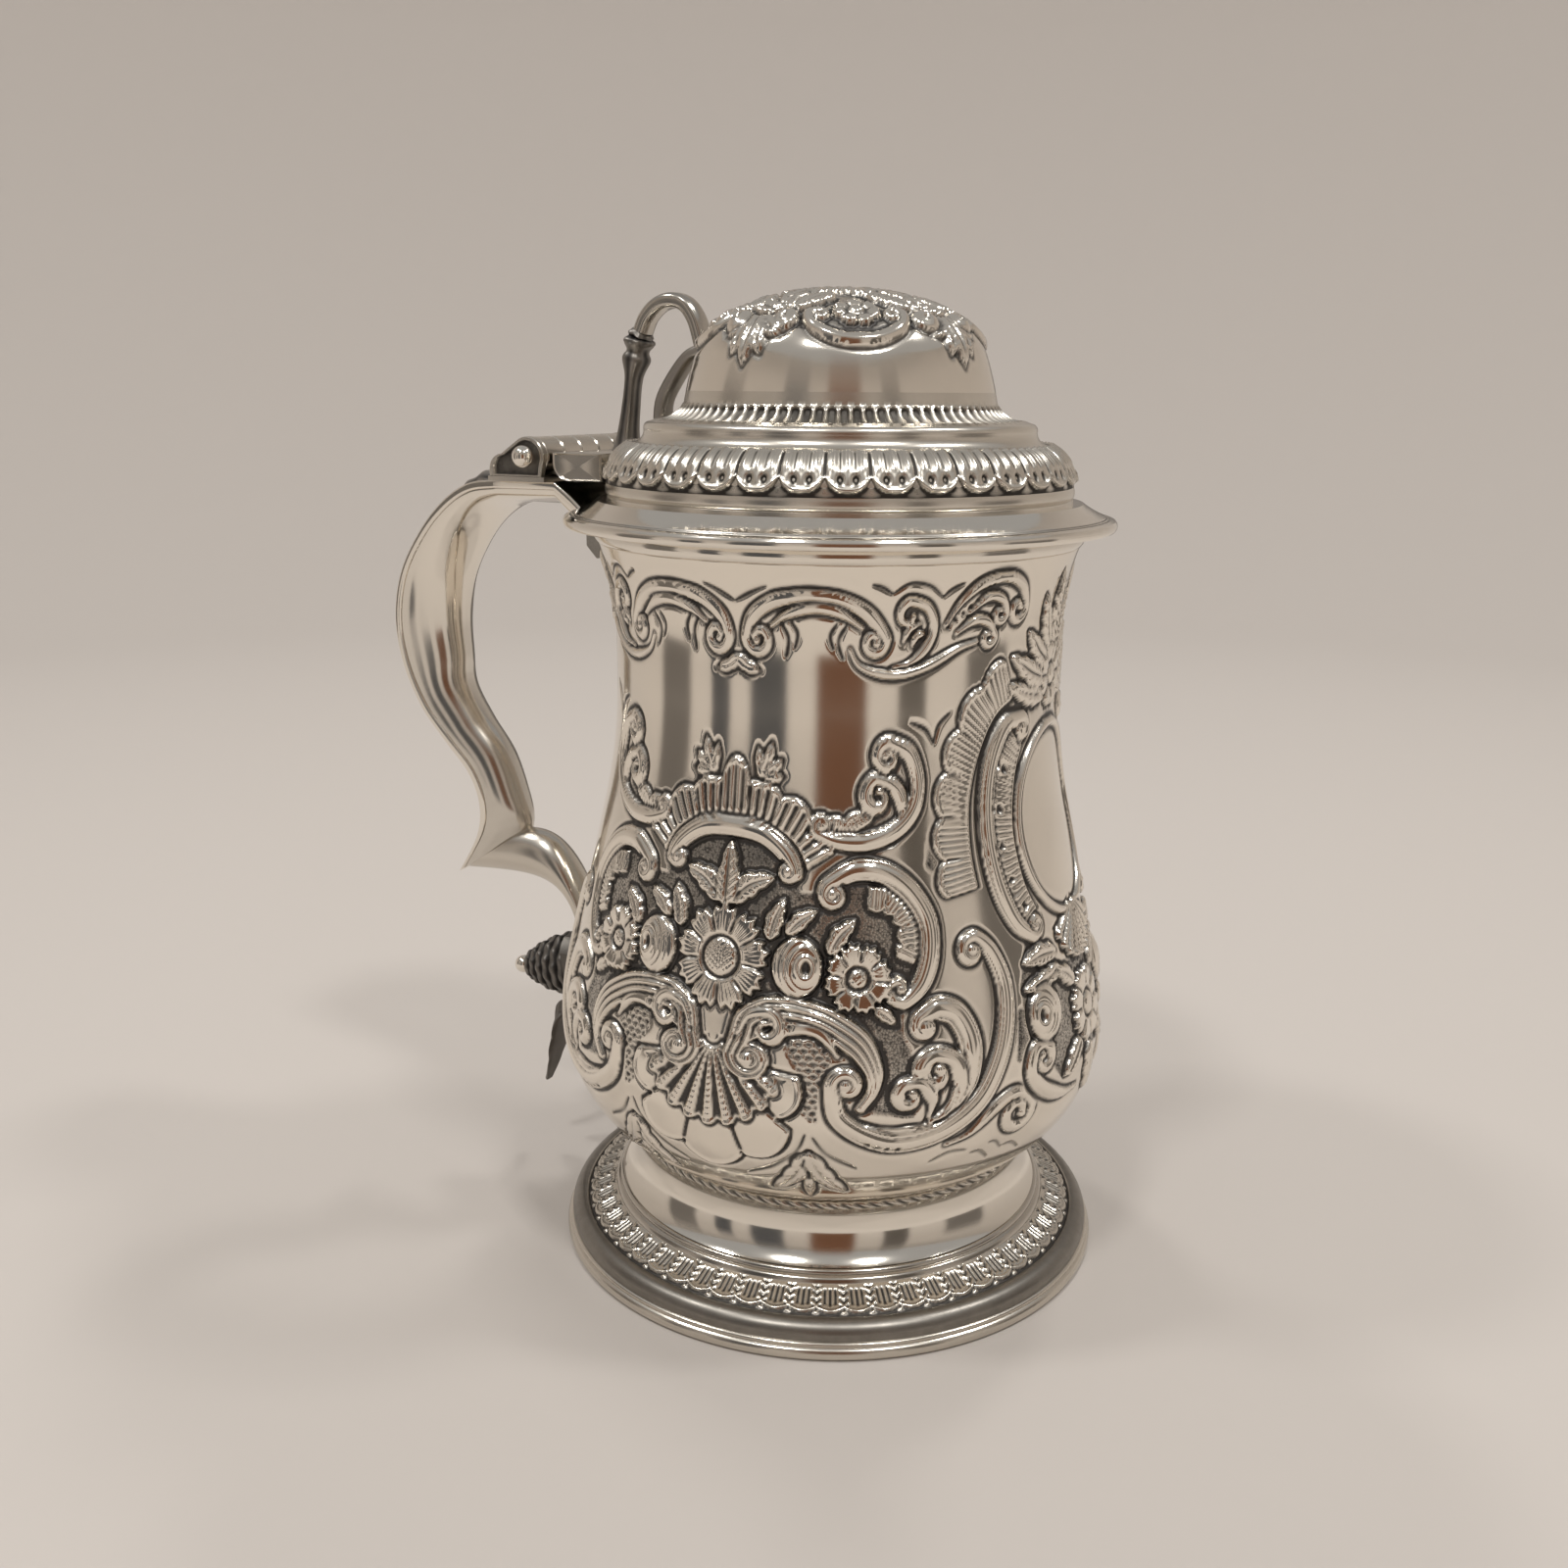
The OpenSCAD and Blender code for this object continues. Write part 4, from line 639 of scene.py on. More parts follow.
def wall_line(out=0.0):
    """The wall from the foot to the mouth, moved outwards: belly arcs, slope, waist arc and flare."""
    low = -np.degrees(np.arctan2(belly_z - foot_h, neck_r - belly_r + lower_c))
    flare = np.degrees(np.arcsin((mouth_z - flare_z) / (flare_c - out)))
    return even(line(
        arc((belly_r - lower_c, belly_z), lower_c + out, low, 0, 160),
        arc((belly_r - belly_c, belly_z), belly_c + out, 0, slope, 40)[1:],
        arc((waist_r + waist_c, waist_z), waist_c - out, 180 + slope, 180, 60),
        arc((waist_r + flare_c, flare_z), flare_c - out, 180, 180 - flare, 60)), 0.2)


wall = wall_line()
girth = lengths(wall)


def rise(z):
    """Distance along the outline from the foot up to height z."""
    return np.interp(z, wall[:, 1], girth)


# Rows lie closest on the belly, where the ornament is finest
marks = [0, rise(31), rise(102), rise(127), rise(148.3), girth[-1]]
rows = spread(marks, (10, 265, 58, 70, 5))
outline = along(wall, rows)
out_way = -left_of(outline)
quarter = np.linspace(0, 90, 301)
print("body outline", round(girth[-1], 1), "mm in", len(rows), "rows")

# %% Drawing on the body
# Millimetres on the sheet for one degree of the girth, and the height of the field's middle
wide_deg, field_z = 0.95, 98.3


def at(*points):
    """Sheet places of points given as (degrees from the middle, height)."""
    p = np.array(points, float).reshape(-1, 2)
    return np.stack([wide_deg * p[:, 0], rise(p[:, 1])], 1)


def one(a, z):
    """Sheet place of a single point."""
    return at((a, z))[0]


# The way a volute turns on its sheet
cw, ccw = -1, 1


def lower_panel(s):
    """Belly ornament of a flank, from its middle outwards: ground, scrolls, shell, flowers and leaves."""
    matting(s, at((-1, 70), (-1, 103), (9, 102.5), (15, 98.5), (16, 91), (21, 91), (30, 94), (41, 92),
                  (45.5, 82), (42, 74.5), (37, 74), (37, 66), (40, 58), (39, 50), (30, 51.5), (33.5, 58),
                  (32, 66), (25, 71)))
    matting(s, at((63.5, 66), (69, 67), (71, 58), (66, 54), (62, 57)))
    matting(s, at((44, 95), (47, 93), (50, 100), (48, 104), (44.5, 101)))
    scales(s, at((13.5, 64.5), (20, 66.5), (23.5, 61), (20.8, 56), (20.8, 49), (18.3, 50.5), (17.6, 58)))
    # ruffle over the arch, and the sprigs on it
    for tip, half in (((5.2, 116.6), 1.1), ((8.6, 117.6), 1.2), ((11, 114.6), 1.1), ((11.4, 111.6), 0.95)):
        leaf(s, one(7, 110.2), one(*tip), 0.2, half, 0.6, 2)
    crest = ((17.9, 94.5), (14.8, 99.2), (9.6, 102.4), (4, 103.6))
    crest = [(-a, z) for a, z in crest] + list(crest[::-1])
    feathers(s, at(*crest), 7.0, 25, 7, 1.0, 1, 0.55, 0.62)
    scroll(s, at((-4, 103.7), (4, 103.6), (9.5, 102.3), (14.5, 99), (16.9, 95)), 2.0, 1.2, 3,
           tail=(one(13.3, 94.6), cw, 1.3), thin=(1, 0.5), lean=-1)
    # leaf scroll up to the plain zone
    feathers(s, at((21, 101.5), (26, 101.2), (31, 103.5), (34, 107)), 3.6, 14, 3, 0.7, 1)
    scroll(s, at((36, 100.5), (39, 104.5), (37.6, 109.2), (33.4, 111.3)), 1.6, 0.9, 2,
           tail=(one(33, 108.2), ccw, 1.2))
    scroll(s, at((37.5, 119.2), (42, 116.8), (44.2, 111), (43, 105.3), (38.5, 101), (31.5, 98.6),
                 (24.5, 98.6), (19.5, 100.1)), 1.7, 1.0, 3, head=(one(35.2, 115.4), ccw, 1.5),
           tail=(one(20.4, 103.1), cw, 1.3), thin=(0.55, 0.55), lean=-1)
    incise(s, at((40.5, 121.6), (44.6, 120), (46.6, 117.4)), 0.6, 0.4)
    incise(s, at((46.6, 117.4), (47.8, 120.6), (51, 123)), 0.6, 0.4)
    # scroll round the small flower
    feathers(s, at((30.5, 92.3), (36, 91.5), (40.3, 87.5), (41.6, 81.5), (40, 77.5)), 4.8, 18, 5, 0.8, -1)
    scroll(s, at((21.8, 94.6), (27.5, 97.1), (34.5, 96.6), (41, 92.8), (45.3, 86.5), (45.6, 79.5),
                 (43.2, 73.6), (39, 70.2)), 2.1, 1.1, 3, head=(one(23.4, 90.8), ccw, 1.4),
           tail=(one(36.6, 73.8), cw, 1.1), thin=(0.5, 0.5), lean=-1)
    # great scroll towards the front, with the leaf inside it
    scroll(s, at((42.5, 48), (48.5, 51), (52.8, 57.5), (53.2, 64), (50, 69.8), (44.5, 71.9), (39.6, 70)),
           2.4, 1.1, 3, tail=(one(41.6, 66.6), ccw, 1.1), thin=(0.25, 0.6), lean=1)
    scroll(s, at((46.5, 50.5), (48.6, 54.5), (47.6, 59.2), (44.2, 61)), 1.9, 0.9, 2,
           tail=(one(43.2, 57.8), ccw, 1.1), thin=(0.2, 0.6))
    scroll(s, at((42, 49.5), (42.6, 53), (40.8, 56), (38.3, 56.3)), 1.5, 0.8, 2,
           tail=(one(38, 53.9), ccw, 1.1), thin=(0.2, 0.6))
    scroll(s, at((26, 49.5), (31, 47), (37, 46.4), (42.5, 48)), 1.6, 0.7, 2, thin=(0.2, 0.3))
    scroll(s, at((21.8, 55.5), (23, 49.5), (28.5, 45), (36, 42.8), (45, 44.4), (53.5, 49.4), (59, 57),
                 (62, 65), (62.3, 72.5), (59.5, 79), (55.5, 82.5)), 2.0, 1.1, 3,
           head=(one(26.2, 56.6), cw, 1.4), tail=(one(53, 79), ccw, 1.4), thin=(0.6, 0.6), lean=1)
    dots(s, at((30.2, 45.0), (32, 44.3), (34, 44.0), (36, 43.8)), 0.55, -0.5)
    # shell and its lobed border under the pair of scrolls
    lobe = one(0, 60.5)
    for way, r in ((-26, 18.5), (-58, 22.3), (-90, 23.6)):
        shell(s, lobe, r, way, 16.2, 1, 0.6, 0.0, 0.3, False, 0.5)
    shell(s, one(0, 63.5), 17.0, -90, 62, 9, 1.1, 0.07)
    scroll(s, at((3.2, 64.5), (4.7, 69), (9.5, 71.9), (16, 72.4), (23.5, 70.6), (30, 66), (32.8, 60),
                 (32.2, 55.3), (29.6, 51.7)), 2.9, 1.2, 4, head=(one(7.8, 60.6), ccw, 1.4), thin=(0.5, 0.3),
           lean=-1)
    scroll(s, at((12.5, 64.8), (17, 66.6), (21.5, 65.7), (24.5, 62)), 1.1, 0.7, 1, thin=(0.4, 0.2))
    scroll(s, at((5.2, 65), (7, 68.3), (10.4, 69.3)), 1.4, 1.0, 2, tail=(one(10.8, 66.3), cw, 1.1))
    # engraved work low on the belly
    incise(s, at((18.7, 46.8), (17, 42.8), (12.5, 38.8), (7, 36.2)), 0.7)
    incise(s, at((20, 46.2), (22.8, 42.3), (28.5, 39)), 0.7)
    leaf(s, one(19.3, 39), one(19.3, 30.2), 0, 1.1, 0.4, 2, 0.35, 0)
    for tip, bend in ((one(11.8, 32.6), 1.0), (one(26.8, 32.6), -1.0)):
        leaf(s, one(19.3, 42.6), tip, bend, 1.8, 0.45, 3, 0.35, 0)
    scroll(s, at((46, 42.9), (51, 44.7), (56, 48.6), (61, 50.6), (65.5, 48.4)), 1.3, 0.7, 2,
           tail=(one(62, 46.2), cw, 1.4), thin=(0.2, 0.7))
    for a, b in (((43, 39.2), (51, 40.6)), ((52, 39.5), (57, 37)), ((56, 41), (60, 38.5)),
                 ((60, 39), (66, 36.5))):
        incise(s, at(a, ((a[0] + b[0]) / 2, (a[1] + b[1]) / 2 + 0.9), b), 0.55, 0.25)
    # flowers and leaves
    leaf(s, one(10.2, 82), one(13, 89.6), 0.4, 1.9)
    leaf(s, one(13.6, 83.2), one(20, 87.8), 0.5, 1.7)
    leaf(s, one(22.5, 80), one(28, 86.2), 0.6, 1.9)
    leaf(s, one(31.5, 70.5), one(35.8, 67.2), 0.3, 1.3, 0.6)
    leaf(s, one(0.8, 88), one(10.6, 93.4), 1.0, 2.3)
    leaf(s, one(0, 87), one(0, 99.2), 0, 2.4, 0.9)
    flower(s, one(28.4, 75.8), 6.4, 8, 0.2, 0.3, cup=0.75)
    bud(s, one(16.2, 77.6), 5.3, (0.22, 0.0))
    flower(s, one(0, 78), 9.6, 9, 0.25, 0.36)


def upper_border(s):
    """Border under the mouth: arches on paired volutes, pendant strokes, gull lines and leaf scrolls."""
    scroll(s, at((0.9, 137.5), (3, 141.6), (8, 144.6), (13.5, 145.6), (18.5, 145.8), (25, 145), (31, 142.4),
                 (35.2, 138)), 1.4, 0.65, 3, head=(one(5.3, 136.6), ccw, 1.4),
           tail=(one(31.6, 136.4), cw, 1.4), thin=(0.55, 0.55), lean=-1)
    scroll(s, at((8.2, 138.9), (12.5, 141.3), (18.5, 142.4), (24, 141.5), (28.8, 138.9)), 1.0, 0.6, 1,
           thin=(0.3, 0.3))
    for run in (((10.6, 139.5), (12.2, 136.8), (11.6, 133.3)),
                ((12.8, 139.9), (14.2, 137.7), (13.6, 134.9)),
                ((25.2, 139.2), (23.5, 136.5), (24.6, 133.2)),
                ((23.2, 139.6), (21.8, 137.4), (22.4, 134.9))):
        incise(s, at(*run), 0.75, 0.5)
    for run in (((0, 143.2), (3.6, 144.7), (7.8, 146.1)), ((30.5, 146.7), (33, 146.1), (35.2, 145)),
                ((35.2, 145), (39, 146.8), (43.5, 146.3), (47, 144.2)),
                ((47, 144.2), (49, 145.5), (52, 146.6))):
        incise(s, at(*run), 0.55, 0.4)
    leaf(s, one(-0.6, 133.2), one(5.4, 130.6), -0.5, 1.15, 0.45, 2)
    scroll(s, at((36, 131.6), (40.3, 132.5), (44, 135.3), (45.4, 139), (43.6, 142.3), (39.8, 143.6)), 1.0,
           0.7, 1, tail=(one(39.4, 141), ccw, 0.9), thin=(0.2, 0.6))
    for run in (((38.4, 136.4), (39.6, 138.5), (42, 139.4)), ((40.6, 135.6), (41.4, 137.3), (43.4, 137.6))):
        scroll(s, at(*run), 0.7, 0.5, 1, thin=(0.3, 0.3))
    scroll(s, at((26.2, 135), (28.2, 132.2), (32.5, 130.7), (38, 130.4), (45, 131.9), (52, 134.5),
                 (57.5, 135.6)), 0.8, 0.55, 1, thin=(0.3, 0.5))
    scroll(s, at((51.5, 137.4), (56.2, 139.6), (60.4, 138.9), (62.4, 136.6)), 0.95, 0.7, 1,
           tail=(one(60.5, 136.2), cw, 1.0), thin=(0.3, 0.6))
    scroll(s, at((54.5, 141), (59, 143.7), (63.4, 143.1), (65.3, 140.8)), 0.9, 0.7, 1,
           tail=(one(63.3, 140.4), cw, 1.0), thin=(0.3, 0.6))
    scroll(s, at((48.5, 139), (51.8, 143.2), (57, 146.4), (64, 147.2), (69.6, 145.2), (72, 141.6)), 1.1,
           0.8, 2, tail=(one(69.3, 140.9), cw, 1.2), thin=(0.3, 0.6))
    dots(s, at((49.3, 138.6), (51, 139.8), (52.8, 141), (54.6, 142), (56.6, 143)), 0.5, -0.45)


def cartouche(s):
    """Front ornament, mirrored about the front: a bare oval field in a ridge, lobed edging, scroll frame,
    ruffle of feathers, with leaves above and a shell, flower and buds below."""
    matting(s, at((8, 70), (22, 78), (25, 70), (24, 60), (14, 49), (-1, 50), (-1, 72)))
    feathers(s, at((19, 124.2), (26, 121), (31, 114.5), (34.2, 106), (34.8, 97), (33.8, 89.5)), 9.0, 40, 6,
             0.8, 1)
    feathers(s, at((15, 115.5), (19.2, 108.5), (21.2, 98.5), (20, 89.5), (16.5, 82.8)), 7.2, 30, 5, 0.6, 1)
    dots(s, at((22.8, 110.6), (25.2, 103.4), (25.4, 96.6), (23.8, 90), (20.6, 84.6)), 0.8, -0.7)
    scroll(s, at((17, 121.6), (23.5, 120.8), (28.8, 115), (31.6, 106.5), (32, 97), (30, 88), (26, 81),
                 (21, 77.6)), 2.1, 1.2, 3, head=(one(15.8, 117.8), ccw, 1.3),
           tail=(one(18.4, 80.4), cw, 1.2), thin=(0.55, 0.5), lean=-1)
    around = np.radians(np.linspace(95, -95, 40))
    oval = np.stack([19.6 * np.cos(around), field_z + 18.6 * np.sin(around)], 1)
    scroll(s, at(*oval), 0.95, 0.9, 1, thin=(1, 1))
    # leaves and flower above the field
    for base, tip, bend, half in (((5, 123), (21.5, 126.3), -0.6, 2.2),
                                  ((4, 126), (20.5, 131.8), -0.8, 2.5), ((3, 129), (14, 136), -0.8, 2.4),
                                  ((2, 131), (8, 142.5), -0.5, 2.1), ((0, 131), (0, 146.5), 0, 2.0)):
        leaf(s, one(*base), one(*tip), bend, half, 0.9, 5)
    flower(s, one(0, 126.5), 6.4, 8, 0.0, 0.34)
    # shell, buds and flower below it
    leaf(s, one(12, 74), one(23.5, 74), 0.5, 2.2)
    leaf(s, one(11, 71), one(24, 69), -0.4, 2.0)
    shell(s, one(0, 82), 12.5, -90, 66, 9, 1.2, 0.07)
    leaf(s, one(6, 66), one(13, 70.5), 0.5, 1.9)
    leaf(s, one(6, 55), one(13, 49), -0.5, 2.0)
    scroll(s, at((7, 44.8), (14, 45.8), (20.5, 48.8), (24.2, 53), (23.4, 57)), 1.6, 0.9, 2,
           tail=(one(20.6, 55.2), ccw, 1.3), thin=(0.2, 0.6))
    bud(s, one(18.5, 63.6), 5.2, (0.25, 0.0))
    flower(s, one(0, 60), 7.6, 8, 0.0, 0.33)
    leaf(s, one(0, 52), one(0, 41), 0, 2.6, 0.7)


panel_x = wide_deg * quarter[:, None]
level = rows[None, :]
side_sheet = Sheet(panel_x, level)
lower_panel(side_sheet)
upper_border(side_sheet)
front_sheet = Sheet(panel_x, level)
cartouche(front_sheet)
for title, sheet in (("flank", side_sheet), ("front", front_sheet)):
    print("relief of the", title, np.round([sheet.h.min(), sheet.h.max()], 2), "mm")


# %% Putting the quarters together
def full_round(front_part, back_part):
    """The whole girth from its front and back quarter: the second half mirrors the first."""
    half_round = np.concatenate([front_part[:-1], back_part])
    return np.concatenate([half_round, half_round[-2:0:-1]])


# The cartouche and its bare field stand over the flank's panel near the front
touched = np.clip(blur((np.abs(front_sheet.h) > 0.02).astype(float), 3, 3) * 2, 0, 1)
heights = np.interp(level, girth, wall[:, 1])
field = (((quarter[:, None] / 21) ** 2 + ((heights - field_z) / 20) ** 2) < 1).astype(float)
over = np.maximum(touched, field) * step(52, 46, quarter)[:, None]
front = side_sheet.h[::-1] * (1 - over) + front_sheet.h * over
front_ground = np.maximum(side_sheet.ground[::-1] * (1 - over), front_sheet.ground)
back = side_sheet.h * step(88, 70, quarter)[:, None]
back_ground = side_sheet.ground * step(44, 42.5, quarter)[:, None]
ring_g = blur(full_round(front_ground, back_ground), 1.2, 1.2, "wrap")
ring_h = blur(full_round(front, back) - 0.25 * ring_g, 0.55, 0.55, "wrap")
ring_h *= step(rise(26), rise(30), level) * step(girth[-1], rise(148.5), level)
near_hollow = (blur(ring_h, 2.2, 2.2, "wrap") - ring_h) / 0.16
wide_hollow = 0.28 * (blur(ring_h, 9, 9, "wrap") - ring_h) / 0.35
ring_tone = np.clip(np.maximum(near_hollow + wide_hollow, 0) ** 1.1 * 0.85 + 0.12 * ring_g, 0, 1)
print("body ring", ring_h.shape, "mean tone", round(float(ring_tone.mean()), 3))

# %% Meshes of the body
body_steps, body_parts, back_points, wall_thick = len(ring_h), 8, 20, 1.0
turn = np.radians(360 / body_steps * np.arange(body_steps))[:, None]
outer_r = outline[None, :, 0] + ring_h * out_way[None, :, 0]
outer_z = outline[None, :, 1] + ring_h * out_way[None, :, 1]
inner_wall = wall_line(-wall_thick)[::-1]
back_line = along(inner_wall, np.linspace(0, lengths(inner_wall)[-1], back_points))
body_grid = turned(*with_back(outer_r, outer_z, back_line), turn)
body_tone, body_mat = (np.pad(values, ((0, 0), (0, back_points))) for values in (ring_tone, ring_g))


def facing(grid):
    """Unit normals of a grid that closes both ways: the cross product of its two slopes."""
    n = np.cross(np.roll(grid, -1, 0) - np.roll(grid, 1, 0), np.roll(grid, -1, 1) - np.roll(grid, 1, 1))
    return n / np.maximum(np.linalg.norm(n, axis=-1, keepdims=True), 1e-9)


body_normal = facing(body_grid)
part_steps = body_steps // body_parts
for k in range(body_parts):
    pick = np.arange(part_steps * k, part_steps * (k + 1) + 1) % body_steps
    skin(f"body_chased_{k + 1}", body_grid[pick], "vessel",
         ["body", "flank_chasing", "front_chasing", "mouth_chasing"], chased, across=True,
         tone=body_tone[pick], stipple=body_mat[pick], normals=body_normal[pick])
t = np.linspace(0, 1, 30)
floor_low = np.stack([40.4 * t, 21.7 + 3.5 * t**2], 1)
floor_high = np.stack([41.9 * t, 22.7 + 3.4 * t**2], 1)[::-1]
skin("body_floor", spun(line(floor_low, floor_high), 180), "vessel", "body", inner, around=True)
print("body:", made)

# %% [markdown]
# ## Mouth and foot
#
# The mouth is stiffened by a wire, and the foot is built up from turned rings that are soldered
# together: a hollow neck, a spreading moulding, a stamped strip and a heavy wire to stand on. A
# turned ring is its section carried round the axis. The strip's pattern was rolled in with a die,
# so it is one unit of relief repeated sixty times: a stack of chevrons, a pair of slots and a
# scalloped lower edge with a drop under each pillar.

# %% Plain rings
def scored(p, places, deep, half):
    """Run p with fine lines turned into it: it sinks to its left at the given distances along it."""
    s = lengths(p)
    sink = sum(np.exp(-(((s - c) / half) ** 2)) for c in places) * deep
    return p + left_of(p) * sink[:, None], np.clip(sink / deep, 0, 1)


ring_steps = 256


def ring(name, profile, body, stands_for, finish, shade_at=None):
    """Turned ring from a closed section; shade_at gives the tone at a radius, which paints shade on it."""
    section = even(line(profile, profile[:1]), 0.35)[:-1]
    tone = None if shade_at is None else np.repeat(shade_at(section[:, 0])[None], ring_steps, 0)
    grid = spun(section, ring_steps)
    skin(name, grid, body, stands_for, finish, around=True, across=True, tone=tone, sharp=32)


def moulding_shade(r):
    """Painted shade of the spreading moulding: its tone is dark on the outer step, below the strip."""
    return 0.5 * step(53.4, 54.0, r)


lip_section = line(
    (47.4, 150.3), (48.6, 150.3), bow((48.9, 150.7), (48.95, 152.5), -0.2, 12),
    (48.9, 152.7), (48.6, 153.0), (47.4, 153.0))
neck_section = line(
    (42, 25.2), bow((42, 23.4), (45.4, 12.4), -1.9, 50), (45.4, 12.4), (44.1, 12.4),
    bow((44.1, 12.4), (40.7, 23.4), 1.9, 20), (40.7, 25.2))
spread_section = line(
    (44.1, 12.4), bow((45.4, 12.4), (46.4, 11.5), 0.3, 14), (46.35, 11.3),
    bow((46.5, 11.2), (47.25, 10.45), 0.14, 10), (47.4, 10.1), (47.4, 9.5), (53.8, 6.5), (53.8, 7.1),
    bow((53.85, 7.1), (57.0, 4.8), 0.8, 24), (57.0, 4.8), (57.0, 3.6), (55.2, 3.6), (53.2, 5.2),
    (46.8, 8.2), (44.1, 9.8))
wire_section = line(
    (54.4, 0), (57.5, 0), bow((57.7, 0.15), (57.7, 2.4), -0.48, 18), (57.4, 2.55),
    bow((57.4, 2.7), (57.25, 3.5), -0.22, 10), (57.1, 3.6), (54.4, 3.6))
ring("lip_wire", lip_section, "vessel", "lip_ring", polished)
ring("foot_neck", neck_section, "vessel", "foot_collet", polished)
# The foot moulding's darker shaded finish and the tone on its outer step paint shade and dark reflection.
ring("foot_spread", spread_section, "vessel", "foot_moulding", shaded, moulding_shade)
ring("foot_wire", wire_section, "vessel", "foot_base_wire", toned)
print("rings:", [m[0] for m in made[-4:]])


# %% Stamped seam and strip
def stamped(name, start, path, height, body, stands_for, finish, thick, blur_steps=(1.6, 1.6)):
    """Ring whose face follows `path` from the angle start with a relief `height` (rows of the ring by
    points of the path); its back lies `thick` below the path."""
    n, m = height.shape
    out = left_of(path)
    t = np.radians(start) + 2 * pi * np.arange(n)[:, None] / n
    face_r = path[None, :, 0] + height * out[None, :, 0]
    face_z = path[None, :, 1] + height * out[None, :, 1]
    back_line = (path - out * thick)[::-1][:: max(m // 5, 1)]
    cave = np.clip((blur(height, *blur_steps, "wrap") - height) / 0.12, 0, 1)
    tone = np.pad(cave, ((0, 0), (0, len(back_line))))
    grid = turned(*with_back(face_r, face_z, back_line), t)
    skin(name, grid, body, stands_for, finish, around=True, across=True, tone=tone, sharp=60)


def unit(count, n):
    """Phase of each of n steps within its own unit, from -0.5 to 0.5."""
    return ((np.arange(n) * count / n + 0.5) % 1 - 0.5)[:, None]


def slot(p, v, middle, half, low, high):
    """Slot at a phase, with its half width, from low to high across the strip."""
    ends = step(low - 0.05, low + 0.05, v) * step(high + 0.05, high - 0.05, v)
    return np.exp(-(((np.abs(p) - middle) / half) ** 2)) * ends


def strip_relief(p, v):
    """Relief of the strip at phase p and share v across it: slots, chevrons, scalloped edge and drop."""
    scallop = 0.74 + 0.13 * np.sin(pi * np.abs(p % 1))
    slots = 0.34 * slot(p, v, 0.30, 0.055, 0.14, 0.62) + 0.34 * slot(p, v, 0.5, 0.055, 0.14, 0.66)
    pillar = step(0.21, 0.15, np.abs(p)) * step(0.74, 0.66, v)
    chevrons = 0.17 * np.cos(2 * pi * (4.5 * v + 3.2 * np.abs(p))) * pillar
    edge = 0.2 * np.exp(-(((v - scallop + 0.045) / 0.035) ** 2))
    below = 0.34 * step(scallop - 0.01, scallop + 0.05, v)
    drop = 0.42 * np.exp(-((p / 0.09) ** 2) - ((v - 0.86) / 0.06) ** 2)
    relief = -0.1 - slots + chevrons + edge - below + drop
    return relief * step(0, 0.04, v) * step(1, 0.97, v) - 0.1 * step(0.05, 0.0, v)


strip_units, strip_points = 60, 30
strip = strip_relief(unit(strip_units, 21 * strip_units), np.linspace(0, 1, strip_points)[None])
strip_line = np.stack([np.linspace(47.42, 53.82, strip_points), np.linspace(10.12, 7.12, strip_points)], 1)
stamped("foot_strip", 3, strip_line, strip, "vessel", "foot_border", toned, 0.55)
beads, wire_points = 96, 12
p, v = unit(beads, 8 * beads), np.linspace(0, 1, wire_points)[None]
beaded = 0.16 * np.cos(2 * pi * p + 2.2 * np.cos(pi * v)) * np.sin(pi * v)
wire_line = bow((42.55, 25.15), (42.55, 23.35), 0.55, wire_points)
stamped("seam_border", 0, wire_line, beaded, "vessel", "seam_wire", toned, 0.5)
print("stamped rings:", made[-2:])

# %% [markdown]
# ## The cover
#
# The cover is a stepped dome that was raised like the body. It is two pieces here: the crown, whose
# top is chased with flowers and scrolls on a polar sheet, and the lower steps, where eighty-eight
# small flutes are punched into the hollow. The border of thirty-six tongues was cast and soldered
# on: each tongue has a raised scalloped rim, two almond slots and striped shading above them.

# %% Outline of the crown
cap_r, cap_rise, top_z = 20.0, 3.8, 198.0
cap_arc = (cap_r**2 + cap_rise**2) / (2 * cap_rise)
cap = arc((0, top_z - cap_arc), cap_arc, 90, 90 - np.degrees(np.arcsin(cap_r / cap_arc)), 60)
crown_line = line(
    cap[:-1], bow((20, 194.2), (28.6, 186.4), 1.4, 40), bow((28.6, 186.4), (31, 177), 0.2, 30), (31, 177))
crown_s = lengths(crown_line)
print("crown outline", round(crown_s[-1], 1), "mm")

# %% Chasing on the crown
crown_end, crown_steps, under_points = 40, 528, 14
out_rows = np.linspace(0, crown_end, 115)
spin = 2 * pi * np.arange(crown_steps)[:, None] / crown_steps
crown_sheet = Sheet(out_rows[None] * np.cos(spin), out_rows[None] * np.sin(spin))


def polar(turn, *points):
    """Sheet places of (degrees, distance from the top) after a turn of the whole motif."""
    q = np.array(points, float).reshape(-1, 2)
    t = np.radians(q[:, 0] + turn)
    return np.stack([q[:, 1] * np.cos(t), q[:, 1] * np.sin(t)], 1)


